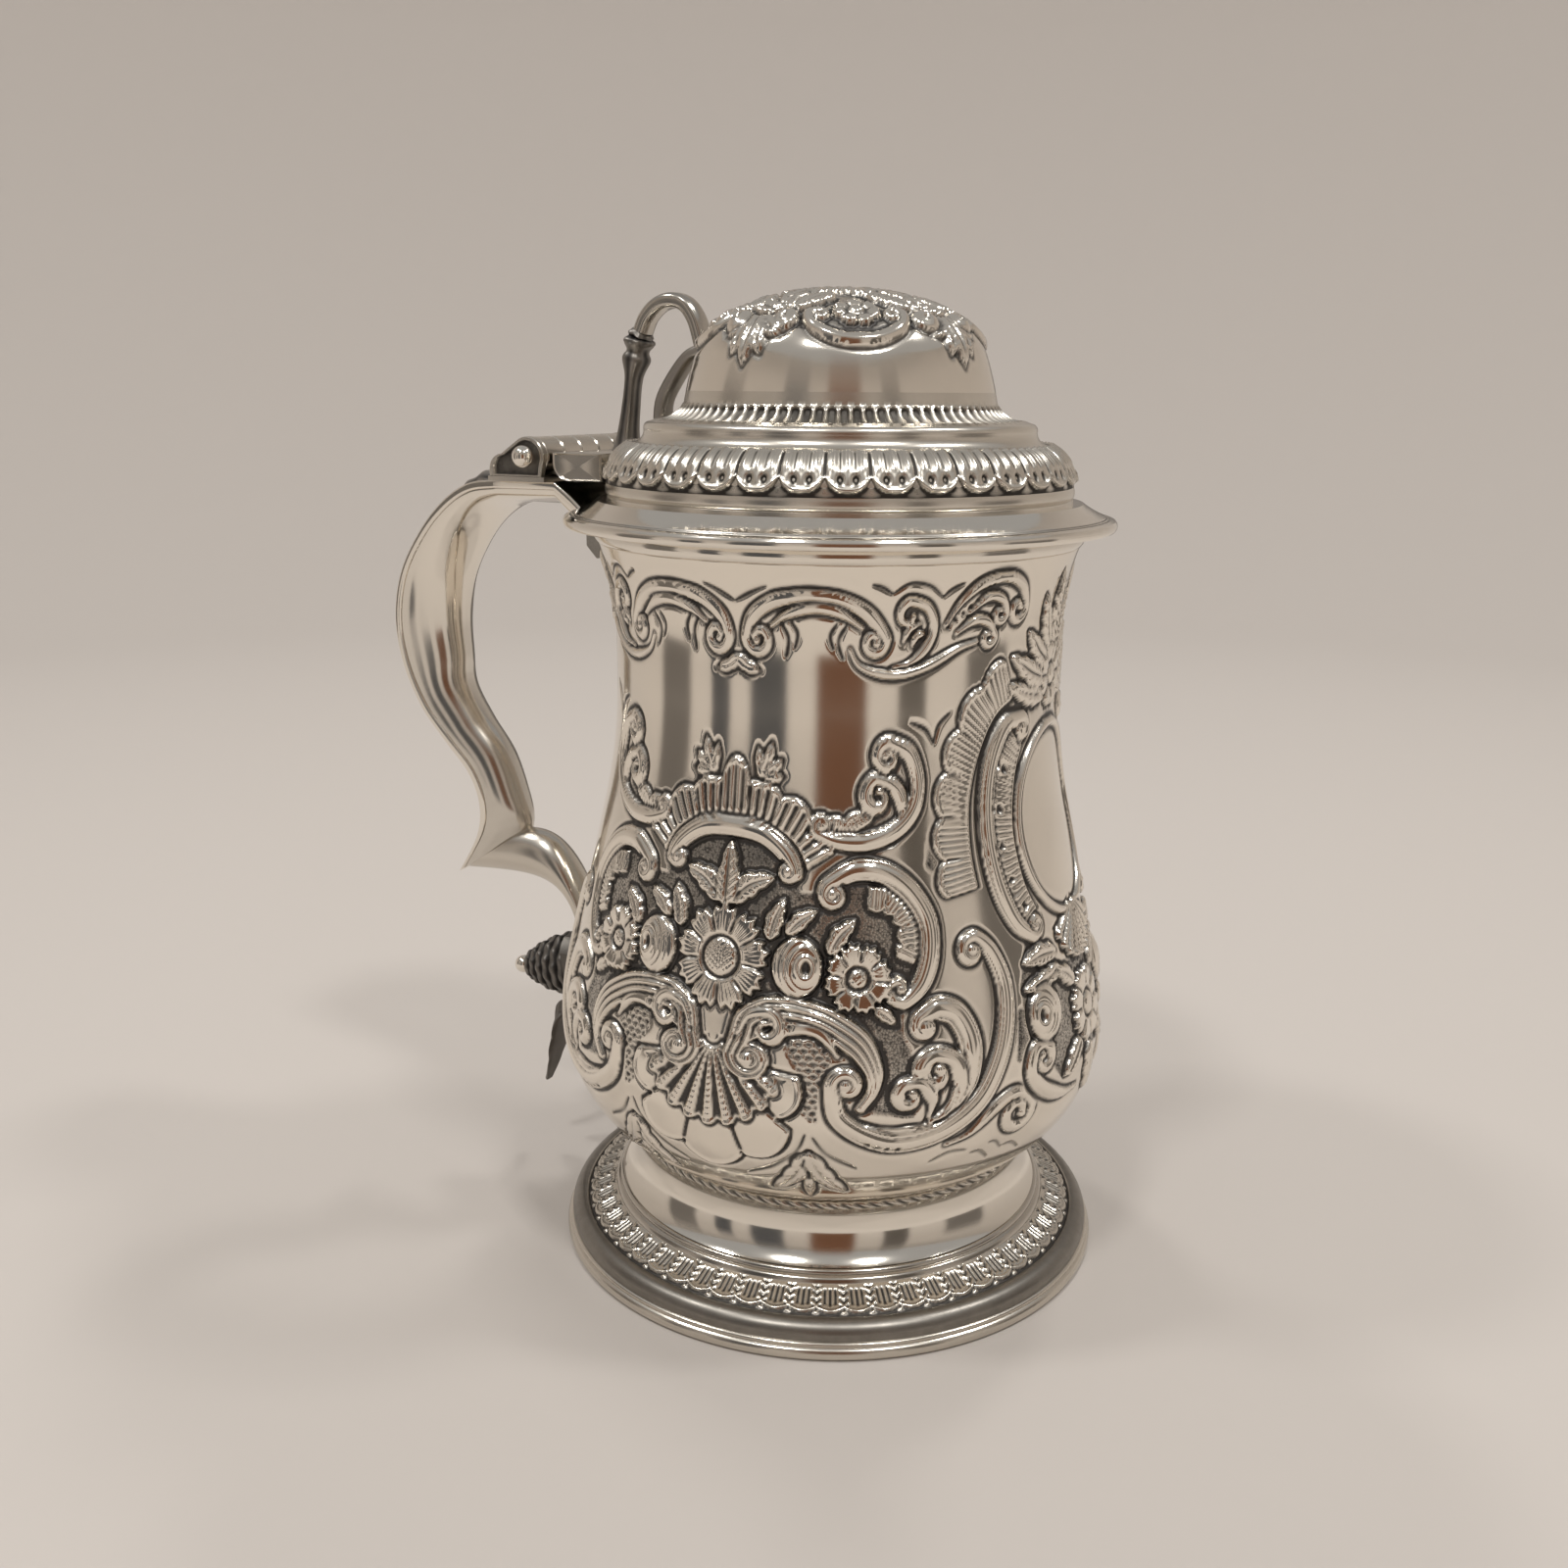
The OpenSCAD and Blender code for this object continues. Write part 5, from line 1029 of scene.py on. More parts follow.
def crown_quarter(s, turn):
    """A quarter of the crown: a hanging spray of leaves, buds, and a cup-shaped scroll with a flower."""
    def spot(a, far):
        """Sheet place of a single point."""
        return polar(turn, (a, far))[0]

    tips = ((31.5, 29.2, 0.8), (58.5, 29.2, -0.8), (38, 33, 0.5), (52, 33, -0.5), (45, 35.2, 0))
    for a, far, bend in tips:
        leaf(s, spot(45, 24.5), spot(a, far), bend, 2.2, 0.9, 3)
    leaf(s, spot(12, 14), spot(30, 23), 0.8, 2.6, 1.2, 3)
    leaf(s, spot(-12, 14), spot(-30, 23), -0.8, 2.6, 1.2, 3)
    leaf(s, spot(45, 9), spot(45, 19), 0, 3.0, 1.2, 3)
    bud(s, spot(32, 25.5), 3.0, (0, 0), 1.3)
    bud(s, spot(-32, 25.5), 3.0, (0, 0), 1.3)
    flower(s, spot(45, 20), 4.0, 6, 0.3, 0.36, 1.2)
    flower(s, spot(0, 22.5), 4.6, 7, 0.2, 0.36, 1.2)
    cup_line = polar(
        turn, (-22, 24.2), (-17, 27.7), (-9, 29.8), (0, 30.4), (9, 29.8), (17, 27.7), (22, 24.2))
    scroll(s, cup_line, 1.5, 1.1, 3, head=(spot(-17, 24.4), cw, 0.9), tail=(spot(17, 24.4), ccw, 0.9),
           thin=(0.5, 0.5))


ground_corners = (
    (-45, 26), (-30, 28), (-20, 28), (0, 30.5), (20, 28), (30, 28), (45, 26), (45, 12), (0, 12), (-45, 12))
crown_turns = [90 * k - 60 for k in range(4)]
for turn in crown_turns:
    matting(crown_sheet, polar(turn, *ground_corners))
for turn in crown_turns:
    crown_quarter(crown_sheet, turn)
for k in range(8):
    leaf(crown_sheet, polar(45 * k, (0, 4))[0], polar(45 * k, (0, 13))[0], 0, 3.2, 1.1, 3)
flower(crown_sheet, (0, 0), 6.6, 8, 0, 0.38, 1.3)
crown_h = blur(crown_sheet.h, 0.6, 0.6) * step(0.0, 0.5, out_rows)[None]
crown_h = np.where(out_rows[None] < 0.5, crown_h[:, :2].mean(), crown_h) - 0.15 * crown_sheet.ground
crown_h *= step(39, 37.6, out_rows)[None]
near_hollow = (blur(crown_h, 2, 2) - crown_h) / 0.17
wide_hollow = 0.3 * (blur(crown_h, 7, 7) - crown_h) / 0.4
crown_tone = np.clip(near_hollow + wide_hollow, 0, 1) * 0.85 + 0.25 * crown_sheet.ground
crown_tone[:, :3] = crown_tone[:, :3].mean()
print("crown relief", np.round([crown_h.min(), crown_h.max()], 2), "mm")

# %% Mesh of the crown
crown_run = along(crown_line, out_rows)
lift = left_of(crown_run)
crown_r = crown_run[None, :, 0] + crown_h * lift[None, :, 0]
crown_r[:, 0] = 0
crown_z = crown_run[None, :, 1] + crown_h * lift[None, :, 1]
under = np.linspace(crown_end, 0, under_points)
under_lift = np.stack([np.interp(under, out_rows, lift[:, k]) for k in range(2)], 1)
under_line = along(crown_line, under) - under_lift
under_line[-1, 0] = 0
skin("cover_crown", turned(*with_back(crown_r, crown_z, under_line), spin), "cover",
     ["lid_cover", "dome_chasing"], chased, around=True,
     tone=np.pad(crown_tone, ((0, 0), (0, under_points))), sharp=70)
print("crown:", made[-1])

# %% Steps and flutes
flutes = 88
flute_steps = 11 * flutes
cove_run = bow((36.4, 173.8), (31, 177), 0.9, 28)
steps_line = line(
    (46.5, 158.3), (46.5, 158.9), (46.3, 159.1), bow((46.5, 159.3), (46.5, 161.4), -0.25, 10),
    bow((46.5, 161.5), (40.9, 169.3), -1.6, 14), bow((40.9, 169.3), (38.99, 171.69), 0.5, 14),
    bow((38.99, 171.69), (37.8, 173.4), -0.5, 12), (37.8, 173.4), (36.6, 173.85))
tail_run = along(crown_line, np.linspace(crown_s[-1], crown_end, 4))
outer = line(steps_line, cove_run, tail_run)
in_cove = slice(len(steps_line), len(steps_line) + len(cove_run))
p, v = unit(flutes, flute_steps), np.linspace(0, 1, len(cove_run))[None]
pitch, cove_length = 2 * pi * 33.7 / flutes, 6.6
slot_edge = np.hypot(p * pitch, np.maximum(np.maximum(v - 0.84, 0.2 - v), 0) * cove_length) - 0.74
flute = -0.62 * step(0.3, -0.3, slot_edge) + 0.12 * np.exp(-(((slot_edge - 0.3) / 0.22) ** 2))
height = np.zeros((flute_steps, len(outer)))
height[:, in_cove] = flute
n_out = -left_of(outer)
inner_steps = line(under_line[0], (29.9, 176.2), (35.2, 172.3), (39.6, 168.2), (45.0, 161.4), (45.3, 158.3))
outer_r = outer[None, :, 0] + height * n_out[None, :, 0]
outer_z = outer[None, :, 1] + height * n_out[None, :, 1]
tone = np.zeros((flute_steps, len(outer) + len(inner_steps)))
tone[:, in_cove] = np.clip(0.95 * step(0.35, -0.15, slot_edge) * (0.55 + 0.45 * v), 0, 1)
t = 2 * pi * np.arange(flute_steps)[:, None] / flute_steps
skin("cover_steps", turned(*with_back(outer_r, outer_z, inner_steps), t), "cover", "lid_cover", soft,
     around=True, across=True, tone=tone, sharp=32)
print("flutes:", flutes, "of depth", round(float(-flute.min()), 2), "mm")


# %% Border of tongues
def tongue_relief(p, v):
    """Relief of the border at phase p and share v up it: rim, two almond slots, stripes and clefts."""
    foot_edge = 0.05 + 0.24 * np.abs(2 * p) ** 2.6
    relief = 0.62 * step(foot_edge - 0.015, foot_edge + 0.035, v)
    rim = 0.34 * np.exp(-(((v - foot_edge - 0.065) / 0.04) ** 2))
    almonds = 0.75 * np.exp(-(((np.abs(p) - 0.17) / 0.075) ** 2) - ((v - 0.30 - 0.1 * p * p) / 0.085) ** 2)
    stripes = (0.13 * np.cos(2 * pi * 3 * p) + 0.05 * np.cos(2 * pi * 9 * p)) * step(0.40, 0.52, v)
    cleft = 0.55 * np.exp(-(((0.5 - np.abs(p)) / 0.06) ** 2))
    clefts = cleft * (1 - 0.55 * step(0.3, 0.6, v)) * step(0.16, 0.26, v)
    relief = relief + rim - almonds + stripes - clefts
    return relief * step(1.0, 0.96, v) + 0.1 * np.exp(-(((v - 0.95) / 0.03) ** 2))


tongues, tongue_points = 36, 40
slope_line = even(line(bow((46.5, 161.5), (40.9, 169.3), -1.6, 60), (40.9, 169.3)), 0.1)
tongue_line = along(slope_line, np.linspace(0, 9.7, tongue_points))[::-1]
tongue = tongue_relief(unit(tongues, 36 * tongues), np.linspace(-0.02, 1, tongue_points)[None, ::-1])
stamped("tongue_border", 5, tongue_line, tongue, "cover", "lid_gadroon_border", soft, 0.12, (2.2, 2.2))
print("tongues:", tongues, "relief", np.round([tongue.min(), tongue.max()], 2), "mm")

# %% Rim of the cover
rim_steps, seat_r, notch_half = 420, 49.8, 16.1
flange_low = line((54.1, 153.2), bow((54.9, 153.2), (54.9, 155.05), -0.42, 14), (54.9, 155.1))
flange_slope = even(line(bow((54.4, 155.3), (48.6, 158.3), 0.3, 60), (48.6, 158.3)), 0.12)
slope_run, score = scored(flange_slope, (0.75, 1.35), 0.16, 0.14)
cut = int(np.argmin(np.abs(slope_run[:, 0] - seat_r)))
rim = line((seat_r, 153.2), flange_low, slope_run[:cut + 1])
rim_tone = np.concatenate([np.zeros(len(rim) - cut - 1), score[:cut + 1]])
notch = np.arcsin(notch_half / rim[:, 0])[None]
share = np.linspace(0, 1, rim_steps)[:, None]
t = pi + notch + share * (2 * pi - 2 * notch)
skin("cover_rim", turned(rim[None, :, 0], rim[None, :, 1], t), "cover", "lid_flange", polished, across=True,
     tone=np.repeat(rim_tone[None], rim_steps, 0), sharp=32)
seat_section = line((44.4, 153.2), (seat_r, 153.2), slope_run[cut:], (44.4, 158.3))
ring("cover_seat", seat_section, "cover", "lid_flange", polished)
print("rim of the cover:", made[-2:])

# %% [markdown]
# ## The handle
#
# The handle is hollow: a half-round shell closed by a flat strap along the back. It springs from
# under the hinge, sweeps out and back in an S, and ends in a spur where a plain horn turns back to
# the belly. Each row of the table is a place on the path: the back line, the way and depth to the
# inner line, and the half width. A smooth curve through the rows carries the sections.

# %% Path of the handle
def eased(p, n):
    """Catmull-Rom curve through rows whose ends come to rest."""
    p = np.array(p, float)
    return curve(np.concatenate([p[:1], p, p[-1:]]), n)[n:-n]


upper_rows = [[50.4, 154.6, 0, -6.8, 15], [53.73, 157.64, 1.36, -6.19, 15], [57.8, 160.6, 1.02, -5.37, 15]]
bow_rows = np.array([
    [0, 0, 0, -0.39, 1], [0.25, 0.011, -0.15, -0.44, 0.88], [0.49, 0.05, -0.36, -0.4, 0.77],
    [0.72, 0.117, -0.65, -0.28, 0.68], [0.92, 0.21, -0.9, -0.12, 0.61], [1, 0.312, -1, 0, 0.57],
    [0.97, 0.412, -0.95, 0.15, 0.52], [0.85, 0.507, -0.68, 0.385, 0.48], [0.665, 0.583, -0.535, 0.42, 0.45],
    [0.497, 0.65, -0.58, 0.325, 0.41], [0.425, 0.719, -0.71, 0.045, 0.39],
    [0.467, 0.793, -0.89, 0.325, 0.35], [0.644, 0.887, -1.325, 0.875, 0.31]])
bow_start = np.array([73, 160.6, 0, 0, 0])
bow_size = np.array([33.4, -104.6, 13.5, 13.5, 15])
lower_rows = bow_start + bow_size * bow_rows
bow_curve = eased(lower_rows, 14)
path = np.concatenate([eased(upper_rows, 10), bow_curve])
print("handle path:", len(path), "sections")


# %% Strap, shell and horn
def handle_side(grid):
    """Turns a grid drawn towards +x round to the handle's side."""
    return np.asarray(grid) * np.array([-1, -1, 1])


def off_path(points, way, far, y):
    """Grid at the distances far along way from a path in the x-z plane, and y to its side."""
    return np.stack([points[:, 0:1] + way[:, 0:1] * far, y, points[:, 1:2] + way[:, 1:2] * far], -1)


strap_thick, corner_r, shell_points = 1.8, 0.5, 41
depth = np.linalg.norm(path[:, 2:4], axis=1)
inward = path[:, 2:4] / depth[:, None]
# The strap's section is a flat bar with four rounded corners
round_t = np.radians([180, 210, 240, 270, 270, 300, 330, 360, 0, 30, 60, 90, 90, 120, 150, 180])
corner_y = np.repeat([-1, 1, 1, -1], 4)
corner_d = np.repeat([0, 0, 1, 1], 4)
strap_y = corner_y[None] * (path[:, 4:5] + 0.4 - corner_r) + corner_r * np.cos(round_t)[None]
strap_d = corner_r + corner_d[None] * (strap_thick - 2 * corner_r) + corner_r * np.sin(round_t)[None]
skin("handle_strap", handle_side(off_path(path, inward, strap_d, strap_y)), "vessel", "handle_back_strap",
     polished, across=True, sharp=38)
a = np.linspace(0, pi, shell_points)[None]
bulge = strap_thick + (depth[:, None] - strap_thick) * np.sin(a) ** 0.85
shell_grid = off_path(path, inward, bulge, -path[:, 4:5] * np.cos(a))
down_share = lengths(path[:, :2]) / lengths(path[:, :2])[-1]
# The tone darkens the handle's lower part: painted shade and dark reflection.
handle_low_shade = np.repeat(0.24 * step(0.35, 0.9, down_share)[:, None], shell_points, 1)
skin("handle_hollow", handle_side(shell_grid), "vessel", "handle_shell", polished, across=True,
     tone=handle_low_shade, sharp=50)
# The horn's upper and lower line run from the spur to the belly: rows are the share of the way back to
# the spur and the share of the half width
horn = eased([[1, 1], [0.84, 1.06], [0.66, 1.08], [0.46, 1.05], [0.27, 1], [0.12, 0.95], [0.03, 0.92],
              [0, 0.9]], 10)
tip, top = lower_rows[-1, :2], lower_rows[-1, :2] + lower_rows[-1, 2:4]
high_seat, low_seat = np.array([57.81, 56]), np.array([63.59, 56])
k = np.clip(horn[:, 0:1], 0, 1)
high_share = np.concatenate([k, 1 - (1 - k) ** 2.6], 1)
low_share = np.concatenate([k**1.7, 1 - (1 - k) ** 3.4], 1)
sag = np.concatenate([0 * k, 1.22 * np.sin(pi * k)], 1)
high_line = high_seat + (top - high_seat) * high_share
low_line = low_seat + (tip - low_seat) * low_share + sag
a = np.linspace(0, 2 * pi, 48, endpoint=False)[None]
horn_y = lower_rows[-1, 4] * horn[:, 1:2] * np.sin(a)
horn_grid = off_path((high_line + low_line) / 2, (high_line - low_line) / 2, np.cos(a), horn_y)
skin("handle_horn", handle_side(horn_grid), "vessel", "handle_lower_scroll", toned, across=True, sharp=50)
print("handle:", made[-3:])

# %% Drop behind the hinge
drop_rows = bow_curve[3:33]
s = np.linspace(0, 1, len(drop_rows))[:, None]
a = np.linspace(0, pi, 49)[None]
outward = -drop_rows[:, 2:4] / np.linalg.norm(drop_rows[:, 2:4], axis=1)[:, None]
half = 15 * (0.2 + 0.55 * np.cos(np.radians(80 * s)) * (0.88 + 0.12 * np.abs(np.sin(np.radians(450 * s)))))
bumps = 0.88 + 0.14 * np.cos(2 * pi * 3 * s) + 0.1 * np.cos(8 * a)
stand = (0.5 + 2.6 * np.sin(np.radians(20 + 150 * s))) * bumps * np.sin(a) ** 0.75 - 0.25
drop = off_path(drop_rows, outward, stand, half * np.cos(a))
drop_tone = np.clip(0.4 - 0.35 * np.cos(8 * a) - 0.12 * np.cos(2 * pi * 3 * s), 0, 1) * 0.75
skin("hinge_drop", handle_side(drop), "vessel", "handle_top_leaf", dusky, across=True, tone=drop_tone,
     sharp=60)
print("drop:", made[-1])

# %% Terminal of the horn
boss_origin, boss_tilt, boss_long = (64, 0, 47.94), 10, 15.0


def on_boss(grid):
    """Grid turned so that its z axis points along +x, tipped down, and moved to the boss's origin."""
    c, s = np.cos(np.radians(boss_tilt)), np.sin(np.radians(boss_tilt))
    x, y, z = grid[..., 0], grid[..., 1], grid[..., 2]
    x0, y0, z0 = boss_origin
    return np.stack([x0 + z * c + x * s, y0 + y, z0 - z * s + x * c], -1)


def ball(r):
    """Grid of a sphere about the origin."""
    a = 2 * pi * np.arange(48)[:, None] / 48
    b = np.linspace(0, pi, 25)[None]
    return turned(r * np.sin(b), r * np.cos(b), a)


tiers, boss_steps = 6, 110
s = np.linspace(0, 1, 97)[None]
a = 2 * pi * np.arange(boss_steps)[:, None] / boss_steps
tier = np.floor(np.clip(s, 0, 0.999) * tiers)
in_tier = np.where(s >= 1, 1, (s * tiers) % 1)
cone = 7.4 - 4.9 * (0.18 * s + 0.82 * s**2.2) + 0.6 * np.sin(pi * in_tier) ** 0.8 - 0.25
cone = cone * (1 + (0.035 + 0.02 * s) * np.cos(11 * a + pi * tier) * np.sin(pi * in_tier))
disc = turned(np.array([[0, 7.2]]), np.array([[-1.5, -1.5]]), a)
point = turned(np.array([[0.0]]), np.array([[boss_long]]), a)
cone_grid = np.concatenate([disc, turned(cone, boss_long * s, a), point], 1)
# The tone's rings at the tiers' joints are patina; its even part and the dusky finish paint the terminal's
# shade and dark reflection.
cone_tone = np.pad(0.35 + 0.6 * (1 - np.sin(pi * in_tier)) + 0 * a, ((0, 0), (2, 1)))
skin("terminal_cone", handle_side(on_boss(cone_grid)), "vessel", "terminal_boss", dusky, around=True,
     tone=cone_tone, sharp=55)
bead = ball(2.1) + np.array([0, 0, 16.68])
skin("terminal_ball", handle_side(on_boss(bead)), "vessel", "terminal_bead", polished, around=True)
leaf_long = 24
s = np.linspace(0, 1, 61)[:, None]
u = np.linspace(-1, 1, 41)[None]
leaf_x = 61.09 + leaf_long * (0.36 * (1 - (1 - s) ** 10) + 0.19 * s**2)
leaf_z = 40.5 - leaf_long * s
q = np.clip((s - 0.22) / 0.78, 0, 1)
lobed = np.sin(pi * q**0.7) * (0.78 + 0.22 * np.abs(np.sin(3 * pi * q)))
leaf_y = leaf_long * (0.08 - 0.03 * q + 0.12 * lobed) * u
thick = 0.8 * (1 - 0.45 * s) * (1 + np.sin(pi * np.clip(s / 0.3, 0, 1)))
veins = 0.25 * np.cos(2 * pi * (8 * s - 2.4 * np.abs(u))) * (1 - u**2) * step(0.1, 0.3, s)
front_x = leaf_x + thick * ((1.2 + np.clip(6 * s, 0, 0.8)) * (1 - u**2) - 0.2 + veins)
back_x = leaf_x - thick * (1 - 0.8 * u**8)
leaf_front = np.stack([front_x, leaf_y, leaf_z + 0 * u], -1)
leaf_back = np.stack([back_x, leaf_y, leaf_z + 0 * u], -1)[:, ::-1]
leaf_grid = np.concatenate([leaf_front, leaf_back], 1)
# The veins hold patina; the even tone of front and back, with the dusky finish, paints the tail's shade and
# dark reflection.
leaf_tone = np.concatenate([np.clip(0.5 - veins, 0, 1) * 0.7, np.full(veins.shape, 0.4)], 1)
skin("terminal_tail", handle_side(leaf_grid), "vessel", "terminal_leaf", dusky, across=True, tone=leaf_tone,
     sharp=60)
print("terminal:", made[-3:])

# %% [markdown]
# ## The hinge
#
# Five knuckles turn on one pin: three belong to the handle and two to the cover. A cheek shaped like
# a drop closes each end, with a raised rim round a dark recess and a ball on the pin's end. A bracket
# joins the cover's knuckles to its wall. Each of these is a flat outline carried across the hinge,
# drawn in a little at the ends, so that the edges catch the light.

# %% Knuckles and bracket
def carried(outline_xz, middle, stages):
    """Outline in the x-z plane carried along y: each stage is (share of its size about the middle, y)."""
    o = np.array(outline_xz, float)
    c = np.array(middle, float)
    grid = []
    for share, y in stages:
        grid.append(np.stack([c[0] + (o[:, 0] - c[0]) * share, np.full(len(o), y),
                              c[1] + (o[:, 1] - c[1]) * share], 1))
    return np.stack(grid, 1)


axis = (62.0, 165.8)
knuckles, knuckle_pitch, knuckle_long, knuckle_start = 5, 6.84, 6.64, -17
vessel_lug = line(arc(axis, 3.9, -52, 232, 60), (59.6, 161.6), (64.4, 161.6))
cover_lug = line(arc(axis, 3.9, -146.6, 168.5, 60), (57.8, 166.58), (57.8, 163.66))
lugs = ((vessel_lug, "vessel", "handle_hinge_lugs"), (cover_lug, "cover", "lid_hinge_lugs"))
for k in range(knuckles):
    y0 = knuckle_start + k * knuckle_pitch
    y1 = y0 + knuckle_long
    lug, body, stands_for = lugs[k % 2]
    grid = carried(lug, axis, ((0, y0), (0.93, y0), (1, y0 + 0.3), (1, y1 - 0.3), (0.93, y1), (0, y1)))
    skin(f"knuckle_{k + 1}", handle_side(grid), body, stands_for, toned, around=True)
bracket = line(
    (45.8, 160.9), (52.0, 160.9), bow((52.8, 160.9), (57.8, 164.18), -1.3, 24), (57.8, 164.18),
    (57.8, 166.58), (45.8, 166.58))
bracket = even(line(bracket, bracket[:1]), 0.5)[:-1]
bracket_stages = (
    (0, -15.7), (0.86, -15.7), (0.95, -16), (1, -15.75), (1, 15.75), (0.95, 16), (0.86, 15.7), (0, 15.7))
grid = carried(bracket, (51.5, 163.9), bracket_stages)
bracket_patina_and_shade = np.repeat(np.array([[0.0, 0.1, 0.0, 0.1, 0.1, 0.0, 0.1, 0.0]]), len(bracket), 0)
# A little patina lies on the faces and the drawn-in ends; the high tone on the lower side paints the shade
# under the bracket.
bracket_patina_and_shade[bracket[:, 1] < 164.1, 3:5] = 0.8
skin("hinge_bracket", handle_side(grid), "cover", "lid_hinge_leaf", toned, around=True, tone=bracket_patina_and_shade)
print("knuckles and bracket:", [m[0] for m in made[-6:]])

# %% Cheeks and balls
cheek = line(
    even(line((58.8, 161.6), (71.5, 161.6)), 0.5)[:-1], (71.5, 161.6), (71.5, 163.2),
    bow((71.5, 163.3), (68.1, 166.2), -0.9, 12), arc(axis, 4.0, 55, 205, 50))
cheek_stages = ((0, 17.2), (1, 17.2), (1, 18.6), (0.97, 18.8), (0.86, 18.8), (0.8, 18.1), (0, 18.1))
cheek_tone = np.repeat(np.array([[0, 0, 0.2, 0.0, 0.1, 0.8, 0.6]]), len(cheek), 0)
for side, tag in ((-1, "left"), (1, "right")):
    grid = carried(cheek, (63.4, 164.6), [(share, side * y) for share, y in cheek_stages])
    skin(f"hinge_cheek_{tag}", handle_side(grid), "vessel", "hinge_cheeks", toned, around=True,
         tone=cheek_tone)
    pin_ball = ball(2.3)[..., [0, 2, 1]] + np.array([axis[0], side * 20.18, axis[1]])
    skin(f"pin_ball_{tag}", handle_side(pin_ball), "vessel", "pin_finials", polished, around=True)
print("cheeks and balls:", [m[0] for m in made[-4:]])

# %% [markdown]
# ## The thumbpiece
#
# The thumb lifts the cover by a tall loop: a stem with a leaf collar, a rod that bends over to the
# dome, and a return scroll down to the step. All three are oval sections on one kind of path.

# %% Stem, loop and return
rod_turn = 2 * pi * np.arange(48)[None] / 48


def rod(places, n, shape):
    """Ovals across a path: rows are x, z, half thickness and half width; shape scales the section by the
    share of the way along the path."""
    q = eased(places, n)
    f = shape(np.linspace(0, 1, len(q))[:, None])
    return off_path(q, -left_of(q[:, :2]), q[:, 2:3] * np.cos(rod_turn) * f,
                    q[:, 3:4] * np.sin(rod_turn) * f)


def shaft(s):
    """Where the stem is a plain four-sided shaft: 1 up to its collar."""
    return step(0.75, 0.6, s)


def collar(s):
    """Where the stem has its leaf collar: 1 near its top."""
    return step(0.72, 0.78, s)


def groove(s):
    """The groove turned into the collar."""
    return np.exp(-(((s - 0.86) / 0.03) ** 2))


def stem_shape(s):
    """Section of the stem: four flats on the shaft, six lobes on the collar, and the groove."""
    flats, lobes = 0.07 * np.cos(4 * rod_turn) * shaft(s), 0.10 * np.cos(6 * rod_turn) * collar(s)
    return 1 - flats + lobes - 0.22 * groove(s)


def loop_shape(s):
    """Section of the loop and the return: four soft flats all along."""
    return 1 - 0.06 * np.cos(4 * rod_turn) + 0 * s


stem_rows = (
    (0.004, 0, 1.04, 1.57), (0, 0.13, 0.64, 1.21), (-0.033, 0.38, 0.5, 1), (-0.066, 0.62, 0.5, 1),
    (-0.094, 0.77, 0.9, 1.3), (-0.111, 0.84, 0.66, 1.12), (-0.123, 0.9, 1.04, 1.42),
    (-0.139, 0.96, 0.94, 1.34))
stem_foot, stem_size = np.array([48.79, 166.58, 0, 0]), np.array([24.4, 24.4, 2.8, 2.8])
loop_places = (
    (44.79, 190.98), (43.4, 193.8), (40.8, 196.2), (37.6, 197.1), (34.4, 196.2), (32.0, 193.0),
    (30.4, 187.8))
loop = [[x, z, 1.7, 2.8] for x, z in loop_places]
back_scroll = [[30.8, 187.2, 1.4, 2.6], [33.8, 185.8, 1.4, 2.7], [37.3, 181.5, 1.5, 2.8],
               [39.9, 176.8, 1.5, 2.8], [40.3, 171.3, 1.6, 2.9]]
stem_grid = rod(np.concatenate([stem_foot + stem_size * np.array(stem_rows), loop[:1]]), 10, stem_shape)
s = np.linspace(0, 1, len(stem_grid))[:, None]
between_flats = 0.4 * np.clip(np.cos(4 * rod_turn), 0, 1) * shaft(s)
between_lobes = 0.25 * np.clip(-np.cos(6 * rod_turn), 0, 1) * collar(s)
stem_tone = np.clip(0.18 + between_flats + 0.5 * groove(s) + between_lobes, 0, 1)
# The stem and the return are dusky, partly patina and partly painted shade and dark reflection; the loop's
# shaded finish paints its shade and dark reflection.
skin("thumb_stem", handle_side(stem_grid), "cover", "thumbpiece_stem", dusky, across=True, tone=stem_tone,
     sharp=55)
skin("thumb_loop", handle_side(rod(loop, 12, loop_shape)), "cover", "thumbpiece_loop", shaded, across=True,
     sharp=55)
skin("thumb_return", handle_side(rod(back_scroll, 14, loop_shape)), "cover", "thumbpiece_return", dusky,
     across=True, sharp=55)
print("thumbpiece:", made[-3:])

# %% [markdown]
# ## Pieces kept from the CAD
#
# What is left of the CAD pieces is small, plain or hidden, so it keeps its own mesh and only gets a
# finish.

# %% Finish of the CAD pieces
# The lower handle pad gets the darkened silver, which paints the shade behind the terminal.
finish_of = {"lower_handle_pad": pad_shade_silver, "upper_handle_pad": toned, "hinge_plate": toned}
dressed = set()
for piece in bpy.data.objects:
    if piece.type == "MESH":
        for place in piece.material_slots:
            if place.material is None or "slot" not in place.material.keys():
                place.material = finish_of.get(piece.name, polished)
                dressed.add(piece.name)
print("given a finish:", len(dressed), "CAD pieces")

# %% [markdown]
# ## Floor, light and camera
#
# The floor runs up into a low round wall, so the ground is pale and without a horizon from every
# side. Six small square lamps hang in a ring above the tankard; the metal doesn't mirror the two
# behind it. Standing cards that only the silver sees give the mirror its dark shapes. The camera takes
# the photograph's own place: 35.55 mm on a 36 mm film, about 0.32 m away, looking 14.3 degrees down.

# %% Floor and cards
def plain(title, colour):
    """A matt finish of one colour."""
    m = bpy.data.materials.new(title)
    m.use_nodes = True
    shader = m.node_tree.nodes["Principled BSDF"]
    shader.inputs["Base Color"].default_value = (*colour, 1)
    shader.inputs["Roughness"].default_value = 0.9
    shader.inputs["Specular IOR Level"].default_value = 0.2
    return m


